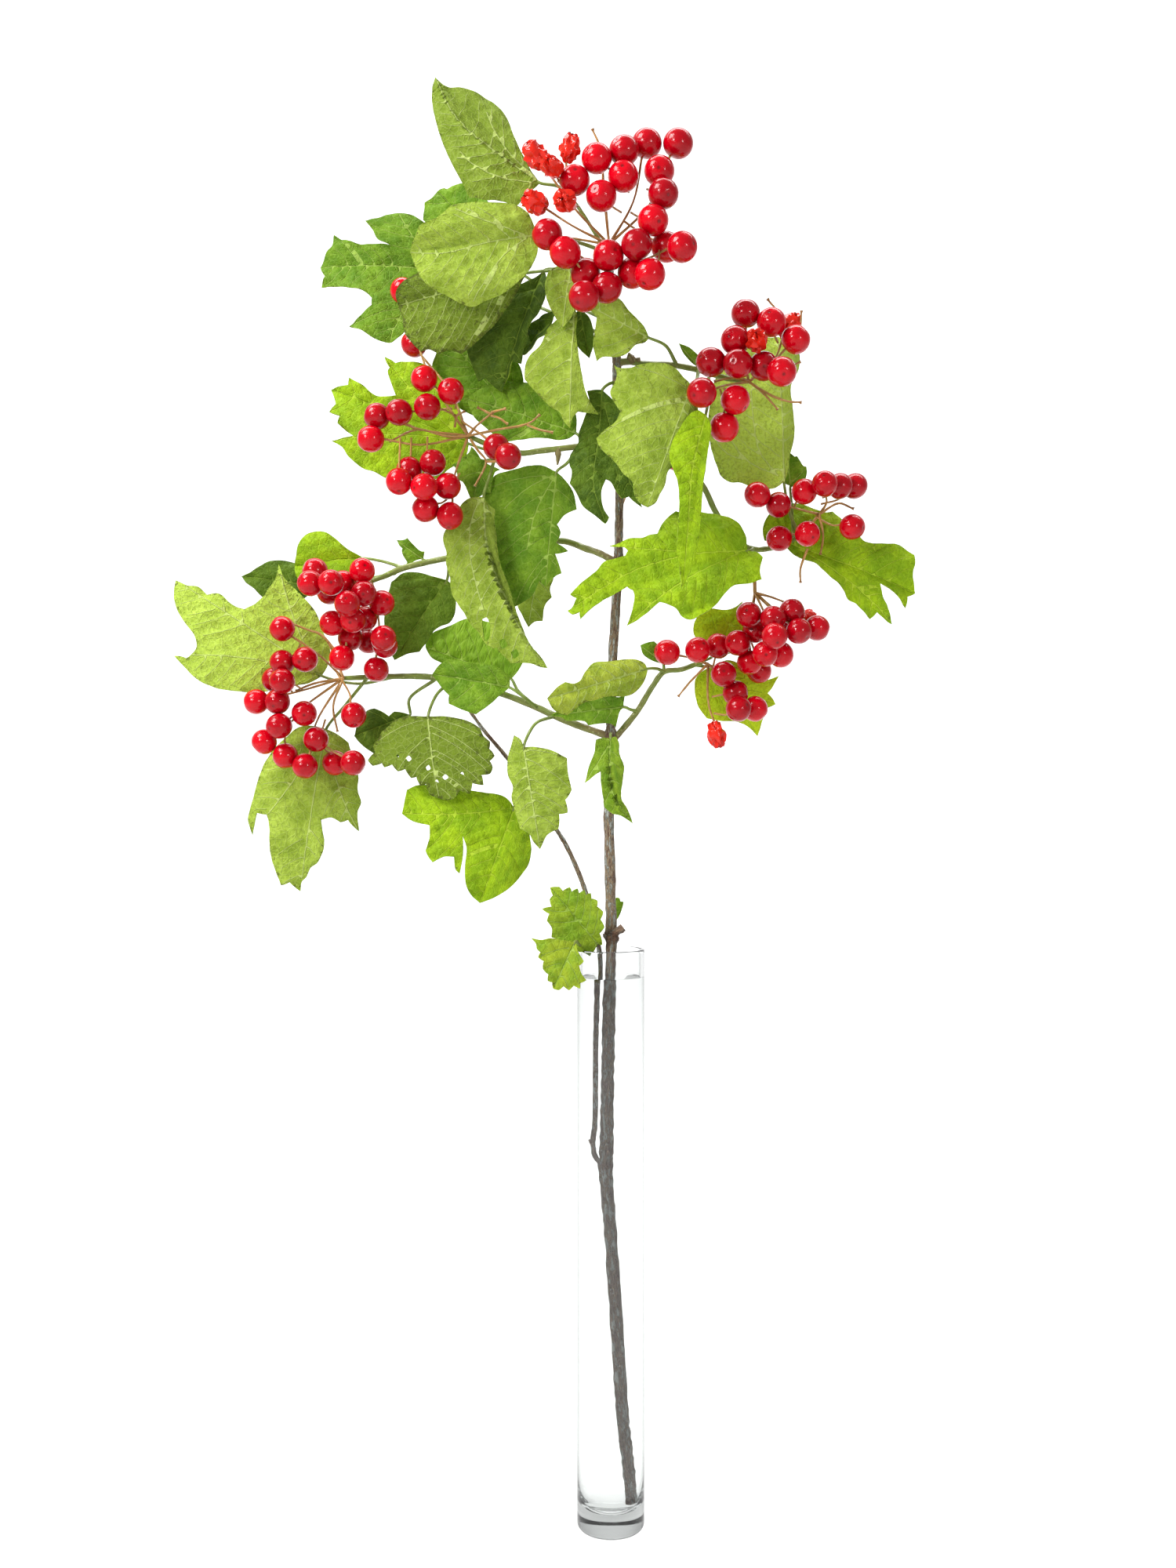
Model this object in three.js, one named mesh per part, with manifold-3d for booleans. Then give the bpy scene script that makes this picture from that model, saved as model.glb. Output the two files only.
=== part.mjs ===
// Jug of guelder rose branch: a slim glass cylinder vase filled with water, holding one
// fruiting branch with hanging leaves and bunches of red berries.
// Millimetres, +Z up. The origin is the middle of the vase's foot, on the surface it stands on.

import * as THREE from "three";
import { mergeVertices } from "three/addons/utils/BufferGeometryUtils.js";
import Module from "manifold-3d";

const wasm = await Module();
wasm.setup();

// Viewpoint of the front view. Places on the branch are given as [across, down, depth]:
// across and down in a front view 1500 wide and 2000 high, depth in mm behind the vase's axis.
const VIEW_DISTANCE = 650;
const VIEW_HEIGHT = 305.9;
const VIEW_SIDE = -9.37;
const VIEW_CENTRE = [750, 1000];
const MM_PER_PIXEL = 0.323;

// Vase and water
const VASE_HEIGHT = 238;
const VASE_RADIUS = 13.9;
const VASE_WALL = 1.6;
const VASE_FLOOR = 8;
const VASE_FOOT_ROUND = 2.4;
const RIM_ROUND = 0.6;
const WATER_LEVEL = 226.4;
const ROUND_SIDES = 24;

// Gap between neighbouring pieces, and how a stalk's end is drawn back for it
const FIT_GAP = 0.3;
const LEAST_DRAWN_BACK = 0.8;
const MOST_DRAWN_BACK = 6;
const DRAWING_STEP = 0.1;

// Sides of the round limbs, and the steps along a twig and a leaf's stalk
const STEM_SIDES = 7;
const TWIG_SIDES = 5;
const STUB_SIDES = 4;
const STALK_SIDES = 3;
const TWIG_STEPS = 11;
const STALK_STEPS = 4;

// Leaves: the inner points of the rib and of each side vein are shares of its length, and a
// notch follows each tooth that stands this far from the next one
const BLADE_THICKNESS = 0.7;
const LEAFSTALK_RADIUS = 0.85;
const RIB_POINTS = [0.36, 0.7];
const SIDE_VEIN = [0.42, 0.76];
const VEIN_CURVE = 0.02;
const VEIN_CLEAR = 0.03;
const NOTCH_SPAN = 9;
const NOTCH_SHARE = 0.24;
const NOTCH_PULL = 0.07;
const BLADE_MIDDLE = 0.45;
const STALK_OVERLAP = 0.08;
const LEAST_FACING = 0.5;

// Berries: the rings are angles from the stalk, the forks are shares of a ray's length
const BERRY_RADIUS = 5.3;
const TOP_BERRY_RADIUS = 5.9;
const BERRY_SPACING = 1.03;
const BERRY_RINGS = [1.0, 2.05];
const SHRIVELLED_SIZE = 0.8;
const RAY_RADIUS = 0.75;
const RAY_FORKS = [0.25, 0.7];
const FIRST_FORK = 0.1;
const HUB_RADIUS = 1.4;
const BUNCH_STALK_RADIUS = 0.9;
const BUNCH_DOME = 0.6;
const DEPTH_STEP = 0.5;
const RAY_SIDES = 3;
const BERRY_SIDES = 6;
const BERRY_OVERLAP = 0.97;

const COLOURS = {
  glass: { color: 0xe8efee, roughness: 0.04, metalness: 0 },
  water: { color: 0xdfe9ea, roughness: 0.02, metalness: 0 },
  bark: { color: 0x6f6253, roughness: 0.8, metalness: 0 },
  twig: { color: 0x7f8f3c, roughness: 0.65, metalness: 0 },
  berry: { color: 0xb5101c, roughness: 0.25, metalness: 0 },
  under: { color: 0xa9c168, roughness: 0.7, metalness: 0 },
  bright: { color: 0x9ccb26, roughness: 0.55, metalness: 0 },
  green: { color: 0x6f9f3a, roughness: 0.6, metalness: 0 },
  dark: { color: 0x46702a, roughness: 0.6, metalness: 0 },
};

const branch = new THREE.Group();

function addPiece(name, geometry, colour) {
  const piece = new THREE.Mesh(geometry, new THREE.MeshStandardMaterial(COLOURS[colour]));
  piece.name = name;
  branch.add(piece);
}

function seen(place) {
  const [across, down, depth] = place;
  const scale = (MM_PER_PIXEL * (VIEW_DISTANCE + depth)) / VIEW_DISTANCE;
  const x = VIEW_SIDE + (across - VIEW_CENTRE[0]) * scale;
  const z = VIEW_HEIGHT - (down - VIEW_CENTRE[1]) * scale;
  return new THREE.Vector3(x, depth, z);
}

// Solids from closed meshes

function closedGeometry(points, triangles) {
  const geometry = new THREE.BufferGeometry();
  const flat = points.flatMap((point) => [point.x, point.y, point.z]);
  geometry.setAttribute("position", new THREE.Float32BufferAttribute(flat, 3));
  geometry.setIndex(triangles.flat());
  return geometry;
}

function toSolid(geometry) {
  const bare = geometry.clone();
  bare.deleteAttribute("normal");
  bare.deleteAttribute("uv");
  const merged = mergeVertices(bare, 1e-4);
  return new wasm.Manifold(
    new wasm.Mesh({
      numProp: 3,
      vertProperties: new Float32Array(merged.attributes.position.array),
      triVerts: new Uint32Array(merged.index.array),
    }),
  );
}

function toGeometry(solid) {
  const mesh = solid.getMesh();
  const geometry = new THREE.BufferGeometry();
  geometry.setAttribute("position", new THREE.BufferAttribute(mesh.vertProperties, 3));
  geometry.setIndex(new THREE.BufferAttribute(mesh.triVerts, 1));
  return geometry;
}

function joined(geometries) {
  return geometries.map(toSolid).reduce((whole, next) => whole.add(next));
}

// A round limb with closed ends along a smooth line through the given points

function limb(points, radii, sides, steps) {
  const line = new THREE.CatmullRomCurve3(points, false, "centripetal");
  const vertices = [];
  const triangles = [];
  let outward = null;
  for (let step = 0; step <= steps; step += 1) {
    const share = step / steps;
    const centre = line.getPoint(share);
    const forward = line.getTangent(share);
    outward = outward ?? new THREE.Vector3(1, 0.2, 0.3);
    outward = outward.clone().addScaledVector(forward, -outward.dot(forward)).normalize();
    const sideways = forward.clone().cross(outward);
    const place = share * (radii.length - 1);
    const low = Math.min(Math.floor(place), radii.length - 2);
    const radius = THREE.MathUtils.lerp(radii[low], radii[low + 1], place - low);
    for (let side = 0; side < sides; side += 1) {
      const turn = (2 * Math.PI * side) / sides;
      const edge = centre.clone().addScaledVector(outward, radius * Math.cos(turn));
      vertices.push(edge.addScaledVector(sideways, radius * Math.sin(turn)));
    }
  }
  for (let step = 0; step < steps; step += 1) {
    for (let side = 0; side < sides; side += 1) {
      const next = (side + 1) % sides;
      const near = step * sides;
      const far = near + sides;
      triangles.push([near + side, near + next, far + next]);
      triangles.push([near + side, far + next, far + side]);
    }
  }
  const last = steps * sides;
  for (let side = 1; side < sides - 1; side += 1) {
    triangles.push([0, side + 1, side]);
    triangles.push([last, last + side, last + side + 1]);
  }
  return closedGeometry(vertices, triangles);
}

function ball(centre, radius, around = 6, rings = 4) {
  return new THREE.SphereGeometry(radius, around, rings).translate(centre.x, centre.y, centre.z);
}

// Draws the first point of a limb back until the limb stands just clear of what carries it

function clearStart(points, radii, carriers) {
  const direction = points[1].clone().sub(points[0]).normalize();
  const grown = radii.map((radius) => radius + FIT_GAP);
  for (let back = LEAST_DRAWN_BACK; back < MOST_DRAWN_BACK; back += DRAWING_STEP) {
    const line = [points[0].clone().addScaledVector(direction, back), ...points.slice(1)];
    const probe = toSolid(limb(line, grown, TWIG_SIDES, 2 * points.length));
    if (carriers.every((carrier) => probe.intersect(carrier).isEmpty())) {
      return line;
    }
  }
  return points;
}

function clearEnd(points, radii, carriers) {
  return clearStart([...points].reverse(), [...radii].reverse(), carriers).reverse();
}

// Vase: one turned piece with a thick rounded floor. The cavity's curve is given as places
// [inset from the wall, height above the floor], from the wall down to the middle.

const CAVITY_CURVE = [[0, 22], [0.5, 11], [1.7, 5], [4.6, 1.4]];

function cavityCurve(gap) {
  const inner = VASE_RADIUS - VASE_WALL - gap;
  const curve = CAVITY_CURVE.map(([inset, height]) => [inner - inset, VASE_FLOOR + height + gap]);
  return [...curve, [0, VASE_FLOOR + gap]];
}

function turned(profile) {
  const outline = profile.map(([radius, height]) => new THREE.Vector2(radius, height));
  return new THREE.LatheGeometry(outline, ROUND_SIDES).rotateX(Math.PI / 2);
}

function makeVase() {
  const inner = VASE_RADIUS - VASE_WALL;
  return turned([
    [0, 0],
    [VASE_RADIUS - VASE_FOOT_ROUND, 0],
    [VASE_RADIUS - 0.3 * VASE_FOOT_ROUND, 0.3 * VASE_FOOT_ROUND],
    [VASE_RADIUS, VASE_FOOT_ROUND],
    [VASE_RADIUS, VASE_HEIGHT - RIM_ROUND],
    [VASE_RADIUS - RIM_ROUND, VASE_HEIGHT],
    [inner + RIM_ROUND / 2, VASE_HEIGHT],
    [inner, VASE_HEIGHT - RIM_ROUND / 2],
    ...cavityCurve(0),
  ]);
}

// Main stem: runs up from the vase's floor, with a thin shoot that leaves it under water.
// The fourth number of each place is the radius there; the stem swells at its joints.

const STEM_LINE = [
  [800.6, 1911.5, 0, 2.1],
  [796, 1860, 0, 2.1],
  [789.6, 1810, 0, 2.1],
  [785.8, 1710, 0, 2.15],
  [778.2, 1560, 0, 2.2],
  [774.5, 1496, 0, 2.2],
  [774, 1484, 0, 2.5],
  [774.6, 1472, 0, 2.2],
  [776, 1380, 0, 2.2],
  [777.5, 1280, 0, 2.2],
  [780, 1204, 0, 2.2],
  [780, 1189, 0, 3],
  [779.5, 1174, 0, 2.1],
  [776, 1030, 1, 2],
  [777.5, 956, 2, 2],
  [779, 940, 2, 2.6],
  [779, 924, 2, 2],
  [782, 832, 1, 1.95],
  [788.5, 728, -1, 1.85],
  [789, 714, -1, 2.3],
  [789, 700, -2, 1.8],
  [790, 610, -4, 1.7],
  [787, 530, -8, 1.6],
  [786, 476, -12, 1.55],
  [787, 462, -13, 2.1],
  [785, 448, -14, 1.5],
  [781, 380, -24, 1.4],
  [777, 318, -34, 1.25],
];
const SHOOT_LINE = [
  [774, 1486, 0, 0.9],
  [764.5, 1474, -0.6, 0.9],
  [761.5, 1458, -1, 0.9],
  [763.5, 1430, -1, 0.9],
  [764.2, 1330, -1, 0.9],
  [765.5, 1262, -1, 0.95],
  [765, 1217, 0, 1],
  [746, 1135, 4, 1],
  [723, 1080, 7, 0.95],
  [709, 1057, 9, 0.95],
  [676, 1008, 13, 0.9],
  [647, 967, 17, 0.85],
  [616, 930, 20, 0.8],
  [596, 902, 22, 0.75],
];
const STUB_TAPER = 0.8;
const STEM_STUBS = [
  { line: [[782, 1190, 0], [795, 1184, -3]], radius: 1.2 },
  { line: [[778, 1192, 0], [767, 1195, -1]], radius: 1.1 },
  { line: [[763, 1464, -1], [758, 1452, -1.6]], radius: 0.8 },
];

function stemParts(grow) {
  const grown = (line) => line.map((place) => place[3] + grow);
  const parts = [
    limb(STEM_LINE.map(seen), grown(STEM_LINE), STEM_SIDES, STEM_LINE.length - 1),
    limb(SHOOT_LINE.map(seen), grown(SHOOT_LINE), TWIG_SIDES, SHOOT_LINE.length - 1),
  ];
  for (const stub of STEM_STUBS) {
    const radii = [stub.radius + grow, stub.radius * STUB_TAPER + grow];
    parts.push(limb(stub.line.map(seen), radii, STUB_SIDES, 1));
  }
  return parts;
}

function makeWater() {
  const filled = turned([
    [0, VASE_FLOOR + FIT_GAP],
    ...cavityCurve(FIT_GAP).reverse().slice(1),
    [VASE_RADIUS - VASE_WALL - FIT_GAP, WATER_LEVEL],
    [0, WATER_LEVEL],
  ]);
  return toSolid(filled).subtract(joined(stemParts(FIT_GAP)));
}

// Side twigs: green, each starting just clear of the limb that carries it

const TWIGS = {
  twig_left_low: {
    line: [[773, 938, 2], [745, 928, 3], [721, 919, 4], [670, 896, 7], [619, 878, 10], [578, 868, 12],
      [542, 863, 13], [496, 863, 13], [438, 865, 11]],
    radii: [1.5, 1.5, 1.3, 1.3, 1],
  },
  twig_left_mid: {
    line: [[784, 716, -1], [765, 706, 0], [748, 700, 2], [717, 690, 5], [650, 698, 9], [570, 712, 12],
      [513, 725, 11], [490, 735, 9], [474, 741, 8]],
    radii: [1.4, 1.4, 1.2, 1.3, 1],
  },
  twig_left_high: {
    line: [[784, 560, -6], [758, 567, -7], [734, 570, -8], [690, 575, -10], [663, 578, -12],
      [630, 570, -13], [597, 556, -15]],
    radii: [1.3, 1.2, 1],
  },
  twig_right_high: {
    line: [[791, 462, -13], [805, 461, -13], [818, 464, -13], [860, 466, -11], [891, 472, -10],
      [925, 482, -11], [948, 486, -12]],
    radii: [1.6, 1.3, 1.2, 1],
  },
  twig_right_mid: {
    line: [[790, 520, -8], [812, 535, -4], [850, 565, 0], [896, 619, 2], [914, 655, 3], [940, 690, 4],
      [958, 700, 5], [984, 699, 8], [1012, 688, 10], [1036, 664, 10]],
    radii: [1.4, 1.2, 1.2, 1],
  },
  twig_right_low: {
    line: [[782, 944, 2], [790, 935, 1], [813, 907, 1], [832, 876, 2], [847, 857, 3], [869, 854, 4],
      [886, 848, 5], [896, 846, 5]],
    radii: [1.4, 1.2, 1.1, 0.9],
  },
};

// Leaves. A blade runs from its base to its tip. Each of its two edges is a list of tooth
// points [across, down] from the base to the tip, and lies in a plane through the base, the
// tip and the point of the side lobe, whose depth is given. Small notches part the teeth.

const LEAVES = {
  leaf_crown_tall: {
    base: [688, 233, -30], tip: [556, 100, -14], colour: "under", bow: 3, cup: 2, smooth: true,
    edges: [
      { depth: -22, points: [[655, 262], [600, 247], [577, 215], [568, 180], [554, 138]] },
      { depth: -20, points: [[680, 212], [655, 165], [640, 143], [602, 119], [575, 112]] },
    ],
    stalk: [[716, 240, -31], [777, 325, -33]],
  },
  leaf_crown_round: {
    base: [684, 300, -39], tip: [524, 322, -28], colour: "under", bow: 4, cup: 3, smooth: true,
    edges: [
      { depth: -26, points: [[674, 345], [650, 371], [606, 391], [565, 368], [536, 345]] },
      { depth: -38, points: [[672, 268], [640, 258], [600, 257], [560, 275], [536, 302]] },
    ],
    stalk: [[712, 302, -40], [776, 322, -34]],
  },
  leaf_crown_olive: {
    base: [672, 348, -20], tip: [508, 390, -12], colour: "under", bow: 3, cup: 2,
    edges: [
      { depth: -10, points: [[645, 400], [606, 432], [572, 458], [540, 446], [519, 424]] },
      { depth: -18, points: [[630, 330], [570, 332], [525, 346], [511, 366]] },
    ],
    stalk: [[716, 344, -24], [778, 338, -30]],
  },
  leaf_crown_dark: {
    base: [694, 345, -14], tip: [640, 500, -6], colour: "dark", bow: 3, cup: 1,
    edges: [
      { depth: -6, points: [[655, 368], [612, 400], [600, 440], [606, 478], [622, 492]] },
      { depth: -11, points: [[702, 360], [692, 395], [676, 430], [668, 466], [654, 474]] },
    ],
    stalk: [[735, 346, -21], [778, 352, -28]],
  },
  leaf_left_three_lobed: {
    base: [560, 345, 15], tip: [409, 342, 22], colour: "green", bow: 3, cup: 2,
    edges: [
      { depth: 12, sinus: 5, points: [[547, 385], [518, 430], [498, 440], [449, 422], [471, 402],
        [481, 386], [450, 374], [412, 371]] },
      { depth: 20, sinus: 4, points: [[547, 292], [511, 277], [469, 289], [487, 314], [507, 322],
        [455, 316], [428, 305], [418, 330]] },
    ],
    stalk: [[640, 372, 8], [780, 432, -16]],
  },
  leaf_behind_crown: {
    base: [640, 330, 12], tip: [558, 244, 20], colour: "green", bow: 2, cup: 2,
    edges: [
      { depth: 20, points: [[590, 318], [550, 296], [543, 266]] },
      { depth: 14, points: [[644, 285], [626, 246], [590, 241]] },
    ],
    stalk: [[700, 372, 7], [781, 412, -19]],
  },
  leaf_pale_hanging: {
    base: [733, 392, -25], tip: [727, 546, -20], colour: "under", bow: 3, cup: 1,
    edges: [
      { depth: -17, points: [[716, 405], [692, 435], [668, 470], [680, 494], [704, 520]] },
      { depth: -19, sinus: 4, points: [[739, 420], [741, 465], [750, 500], [764, 529], [738, 526]] },
    ],
    stalk: [[750, 374, -26], [779, 368, -26]],
  },
  leaf_folded_grey: {
    base: [729, 343, -28], tip: [717, 419, -28], colour: "under", bow: 1, cup: 1, smooth: true,
    edges: [
      { depth: -26, points: [[712, 340], [695, 362], [700, 396]] },
      { depth: -29, points: [[741, 362], [737, 396]] },
    ],
    stalk: [[748, 334, -29], [778, 334, -31]],
  },
  leaf_slim_dark_right: {
    base: [740, 394, -20], tip: [752, 457, -17], colour: "dark", bow: 1, cup: 0, smooth: true,
    edges: [
      { depth: -18, points: [[730, 412], [735, 442]] },
      { depth: -20, points: [[752, 405], [759, 432]] },
    ],
    stalk: [[758, 382, -22], [781, 388, -24]],
  },
  leaf_slim_dark_left: {
    base: [716, 398, -14], tip: [667, 453, -7], colour: "dark", bow: 1, cup: 0,
    edges: [
      { depth: -9, points: [[690, 404], [671, 426]] },
      { depth: -12, points: [[704, 421], [684, 446]] },
    ],
    stalk: [[745, 390, -18], [782, 400, -22]],
  },
  leaf_upper_right: {
    base: [828, 431, -23], tip: [750, 389, -22], colour: "under", bow: 2, cup: 2, smooth: true,
    edges: [
      { depth: -20, points: [[812, 440], [795, 455], [762, 461], [760, 425]] },
      { depth: -26, points: [[822, 417], [808, 397], [793, 373], [765, 374]] },
    ],
    stalk: [[848, 440, -21], [862, 463, -12]],
  },
  leaf_large_pale: {
    base: [882, 494, -26], tip: [826, 647, -24], colour: "under", bow: 3, cup: 3,
    edges: [
      { depth: -20, points: [[868, 474], [838, 467], [786, 468], [791, 494], [795, 526], [762, 560],
        [783, 590], [804, 607], [806, 630]] },
      { depth: -21, points: [[886, 530], [880, 570], [856, 590], [846, 622]] },
    ],
    stalk: [[888, 486, -19], [891, 472, -10]],
  },
  leaf_bright_hanging: {
    base: [900, 530, -30], tip: [870, 753, -30], colour: "bright", bow: 2, cup: 1,
    edges: [
      { depth: -30, points: [[880, 538], [852, 582], [862, 604], [864, 650], [855, 705]] },
      { depth: -29, points: [[906, 552], [898, 592], [893, 640], [891, 700]] },
    ],
    stalk: [[904, 508, -22], [904, 475, -10.4]],
  },
  leaf_bright_wide: {
    base: [953, 703, -8], tip: [724, 780, -18], colour: "bright", bow: 3, cup: 2,
    rib: [[872, 714, -10], [800, 737, -13]],
    edges: [
      { depth: -20, sinus: 9, lobe: 7, points: [[973, 714], [970, 737], [936, 749], [905, 781], [878, 792],
        [858, 779], [838, 776], [801, 799], [806, 768], [797, 752], [765, 770], [741, 790]] },
      { depth: -12, sinus: 6, lobe: 5, points: [[944, 677], [920, 660], [872, 655], [842, 682], [815, 691],
        [778, 700], [801, 711], [768, 722], [733, 752]] },
    ],
    stalk: [[958, 702, -5], [960, 700, 4]],
  },
  leaf_dark_centre: {
    base: [768, 498, -15], tip: [772, 668, -15], colour: "dark", bow: 2, cup: 1,
    rib: [[764, 555, -14], [757, 618, -14]],
    edges: [
      { depth: -13, points: [[749, 502], [745, 535], [733, 560], [727, 605], [742, 642]] },
      { depth: -14, sinus: 5, lobe: 3, points: [[792, 524], [784, 560], [802, 600], [818, 646], [792, 638],
        [774, 612], [768, 640]] },
    ],
    stalk: [[776, 490, -15], [786, 488, -11]],
  },
  leaf_grey_right: {
    base: [1000, 616, 4], tip: [992, 429, 6], colour: "under", bow: 3, cup: 2, smooth: true,
    edges: [
      { depth: 6, points: [[985, 624], [945, 617], [922, 602], [905, 560], [905, 510], [920, 470],
        [952, 440]] },
      { depth: 8, points: [[1005, 597], [1009, 572], [1012, 545], [1008, 505], [1018, 462], [1012, 436]] },
    ],
    stalk: [[1004, 640, 6], [1010, 662, 8], [1020, 681, 10]],
  },
  leaf_right_drooping: {
    base: [993, 690, 17], tip: [1167, 757, 20], colour: "bright", bow: 3, cup: 2,
    edges: [
      { depth: 18, sinus: 6, lobe: 5, points: [[1010, 712], [1045, 727], [1070, 750], [1080, 768],
        [1107, 790], [1136, 796], [1120, 750], [1151, 777]] },
      { depth: 22, points: [[984, 662], [1012, 640], [1060, 655], [1110, 690], [1145, 698], [1162, 716],
        [1168, 738]] },
    ],
    stalk: [[986, 694, 13], [984, 699, 8]],
  },
  leaf_under_berries: {
    base: [908, 850, 16], tip: [966, 939, 22], colour: "bright", bow: 2, cup: 1,
    edges: [
      { depth: 20, points: [[895, 862], [885, 890], [896, 912], [930, 922]] },
      { depth: 24, points: [[945, 848], [968, 866], [993, 863], [978, 884], [986, 898]] },
    ],
    stalk: [[898, 850, 11], [886, 848, 5]],
  },
  leaf_behind_berries: {
    base: [908, 838, 16], tip: [947, 767, 20], colour: "bright", bow: 2, cup: 1,
    edges: [
      { depth: 18, points: [[894, 820], [882, 802], [890, 786], [908, 778], [932, 782]] },
      { depth: 20, points: [[940, 828], [958, 800]] },
    ],
    stalk: [[888, 846, 11], [876, 852, 5]],
  },
  leaf_node_high: {
    base: [826, 853, -6], tip: [698, 891, -14], colour: "under", bow: 2, cup: 2,
    edges: [
      { depth: -10, points: [[822, 868], [798, 884], [765, 890], [730, 906], [708, 903]] },
      { depth: -10, points: [[812, 842], [780, 841], [745, 850], [735, 866], [708, 874]] },
    ],
    stalk: [[838, 853, -2], [847, 857, 3]],
  },
  leaf_node_hanging: {
    base: [779, 942, -7], tip: [807, 1050, -12], colour: "green", bow: 2, cup: 1,
    rib: [[779, 978, -9], [783, 1012, -11]],
    edges: [
      { depth: -9, sinus: 3, lobe: 2, points: [[760, 944], [759, 966], [748, 997], [768, 990], [770, 1030],
        [786, 1040]] },
      { depth: -10, points: [[790, 948], [797, 975], [795, 1012], [802, 1034]] },
    ],
    stalk: [[779, 937, -5], [779, 936, 2]],
  },
  leaf_yellow_tipped: {
    base: [598, 566, 4], tip: [422, 497, 8], colour: "bright", bow: 3, cup: 2,
    edges: [
      { depth: 5, sinus: 5, lobe: 4, points: [[588, 592], [545, 618], [495, 612], [463, 598], [426, 565],
        [452, 556], [424, 528]] },
      { depth: 6, sinus: 4, lobe: 3, points: [[588, 520], [550, 470], [520, 468], [493, 459], [503, 500],
        [470, 497], [448, 486], [440, 498]] },
    ],
    stalk: [[625, 575, 0], [642, 575, -12]],
  },
  leaf_bluish: {
    base: [655, 530, 4], tip: [584, 445, 6], colour: "green", bow: 2, cup: 1,
    edges: [
      { depth: 6, points: [[620, 532], [590, 506], [583, 476]] },
      { depth: 3, points: [[670, 500], [655, 462], [612, 440]] },
    ],
    stalk: [[643, 552, 4], [648, 574, -2], [664, 578, -11]],
  },
  leaf_mid_green: {
    base: [735, 553, -4], tip: [595, 509, 0], colour: "green", bow: 2, cup: 1,
    edges: [
      { depth: -2, points: [[715, 564], [670, 560], [640, 566], [612, 542]] },
      { depth: 0, points: [[734, 520], [700, 495], [650, 490], [618, 496]] },
    ],
    stalk: [[742, 560, -6], [748, 568, -7]],
  },
  leaf_big_drooping: {
    base: [617, 634, -15], tip: [698, 852, -15], colour: "under", bow: 4, cup: 2,
    rib: [[628, 712, -12], [657, 784, -13]],
    edges: [
      { depth: -8, points: [[592, 642], [567, 680], [568, 712], [584, 756], [606, 790], [645, 838],
        [676, 846]] },
      { depth: -11, points: [[636, 648], [652, 690], [665, 745], [680, 800], [694, 832]] },
    ],
    stalk: [[625, 606, -14], [634, 573, -13]],
  },
  leaf_second_hanging: {
    base: [710, 602, -7], tip: [696, 748, -6], colour: "green", bow: 2, cup: 1,
    edges: [
      { depth: -4, points: [[685, 594], [650, 606], [626, 632], [640, 685], [652, 735], [668, 763]] },
      { depth: -6, points: [[722, 616], [735, 652], [714, 672], [724, 704], [707, 712], [713, 747]] },
    ],
    stalk: [[724, 590, -8], [738, 571, -8]],
  },
  leaf_third_hanging: {
    base: [690, 712, 11], tip: [674, 800, 13], colour: "under", bow: 1, cup: 1,
    edges: [
      { depth: 13, points: [[668, 735], [662, 775]] },
      { depth: 12, points: [[708, 738], [704, 768], [693, 792]] },
    ],
    stalk: [[700, 702, 9], [706, 692, 6]],
  },
  leaf_dark_shaded: {
    base: [570, 740, 18], tip: [503, 842, 22], colour: "dark", bow: 2, cup: 2, smooth: true,
    edges: [
      { depth: 22, points: [[540, 731], [507, 738], [492, 775], [494, 815]] },
      { depth: 19, points: [[583, 752], [588, 782], [560, 803], [533, 830]] },
    ],
    stalk: [[572, 730, 16], [572, 713, 12]],
  },
  leaf_under_drooping: {
    base: [652, 866, 16], tip: [543, 826, 20], colour: "green", bow: 2, cup: 1,
    edges: [
      { depth: 17, points: [[630, 872], [600, 864], [568, 848]] },
      { depth: 17, points: [[668, 836], [655, 800], [600, 788], [560, 800]] },
    ],
    stalk: [[660, 880, 13], [678, 897, 7]],
  },
  leaf_over_twig: {
    base: [650, 877, 4], tip: [551, 860, 6], colour: "green", bow: 2, cup: 1,
    edges: [
      { depth: 3, points: [[638, 888], [624, 903], [606, 912], [584, 902], [565, 879]] },
      { depth: 4, points: [[640, 850], [598, 845], [572, 842]] },
    ],
    stalk: [[664, 886, 3], [684, 902, 5]],
  },
  leaf_left_bright: {
    base: [464, 712, 19], tip: [377, 722, 24], colour: "bright", bow: 2, cup: 2, smooth: true,
    edges: [
      { depth: 20, points: [[452, 742], [420, 756], [388, 748]] },
      { depth: 22, points: [[450, 700], [428, 684], [405, 678], [386, 692]] },
    ],
    stalk: [[488, 716, 16], [514, 724, 11]],
  },
  leaf_left_dark: {
    base: [404, 748, 34], tip: [308, 735, 38], colour: "dark", bow: 1, cup: 1,
    edges: [
      { depth: 36, points: [[385, 772], [352, 770], [334, 762]] },
      { depth: 36, points: [[390, 722], [355, 718], [335, 728]] },
    ],
    stalk: [[452, 742, 28], [504, 731, 11]],
  },
  leaf_big_pale: {
    base: [410, 862, 21], tip: [224, 740, 26], colour: "under", bow: 4, cup: 2,
    edges: [
      { depth: 22, sinus: 6, lobe: 4, points: [[385, 876], [335, 885], [285, 882], [250, 864], [226, 839],
        [250, 836], [254, 820], [234, 790], [228, 765]] },
      { depth: 28, sinus: 5, lobe: 3, points: [[425, 830], [415, 785], [385, 752], [358, 723], [347, 762],
        [318, 779], [285, 761], [245, 749]] },
    ],
    stalk: [[456, 872, 19], [500, 864, 13]],
  },
  leaf_lower_left: {
    base: [416, 930, 23], tip: [383, 1137, 21], colour: "under", bow: 3, cup: 2,
    edges: [
      { depth: 25, sinus: 4, lobe: 3, points: [[376, 928], [350, 968], [330, 1010], [323, 1063],
        [342, 1038], [346, 1050], [348, 1100], [364, 1124]] },
      { depth: 23, sinus: 5, lobe: 3, points: [[446, 948], [459, 990], [460, 1030], [458, 1059],
        [440, 1046], [413, 1046], [415, 1082], [402, 1112]] },
    ],
    stalk: [[440, 900, 20], [470, 863, 13]],
  },
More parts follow.
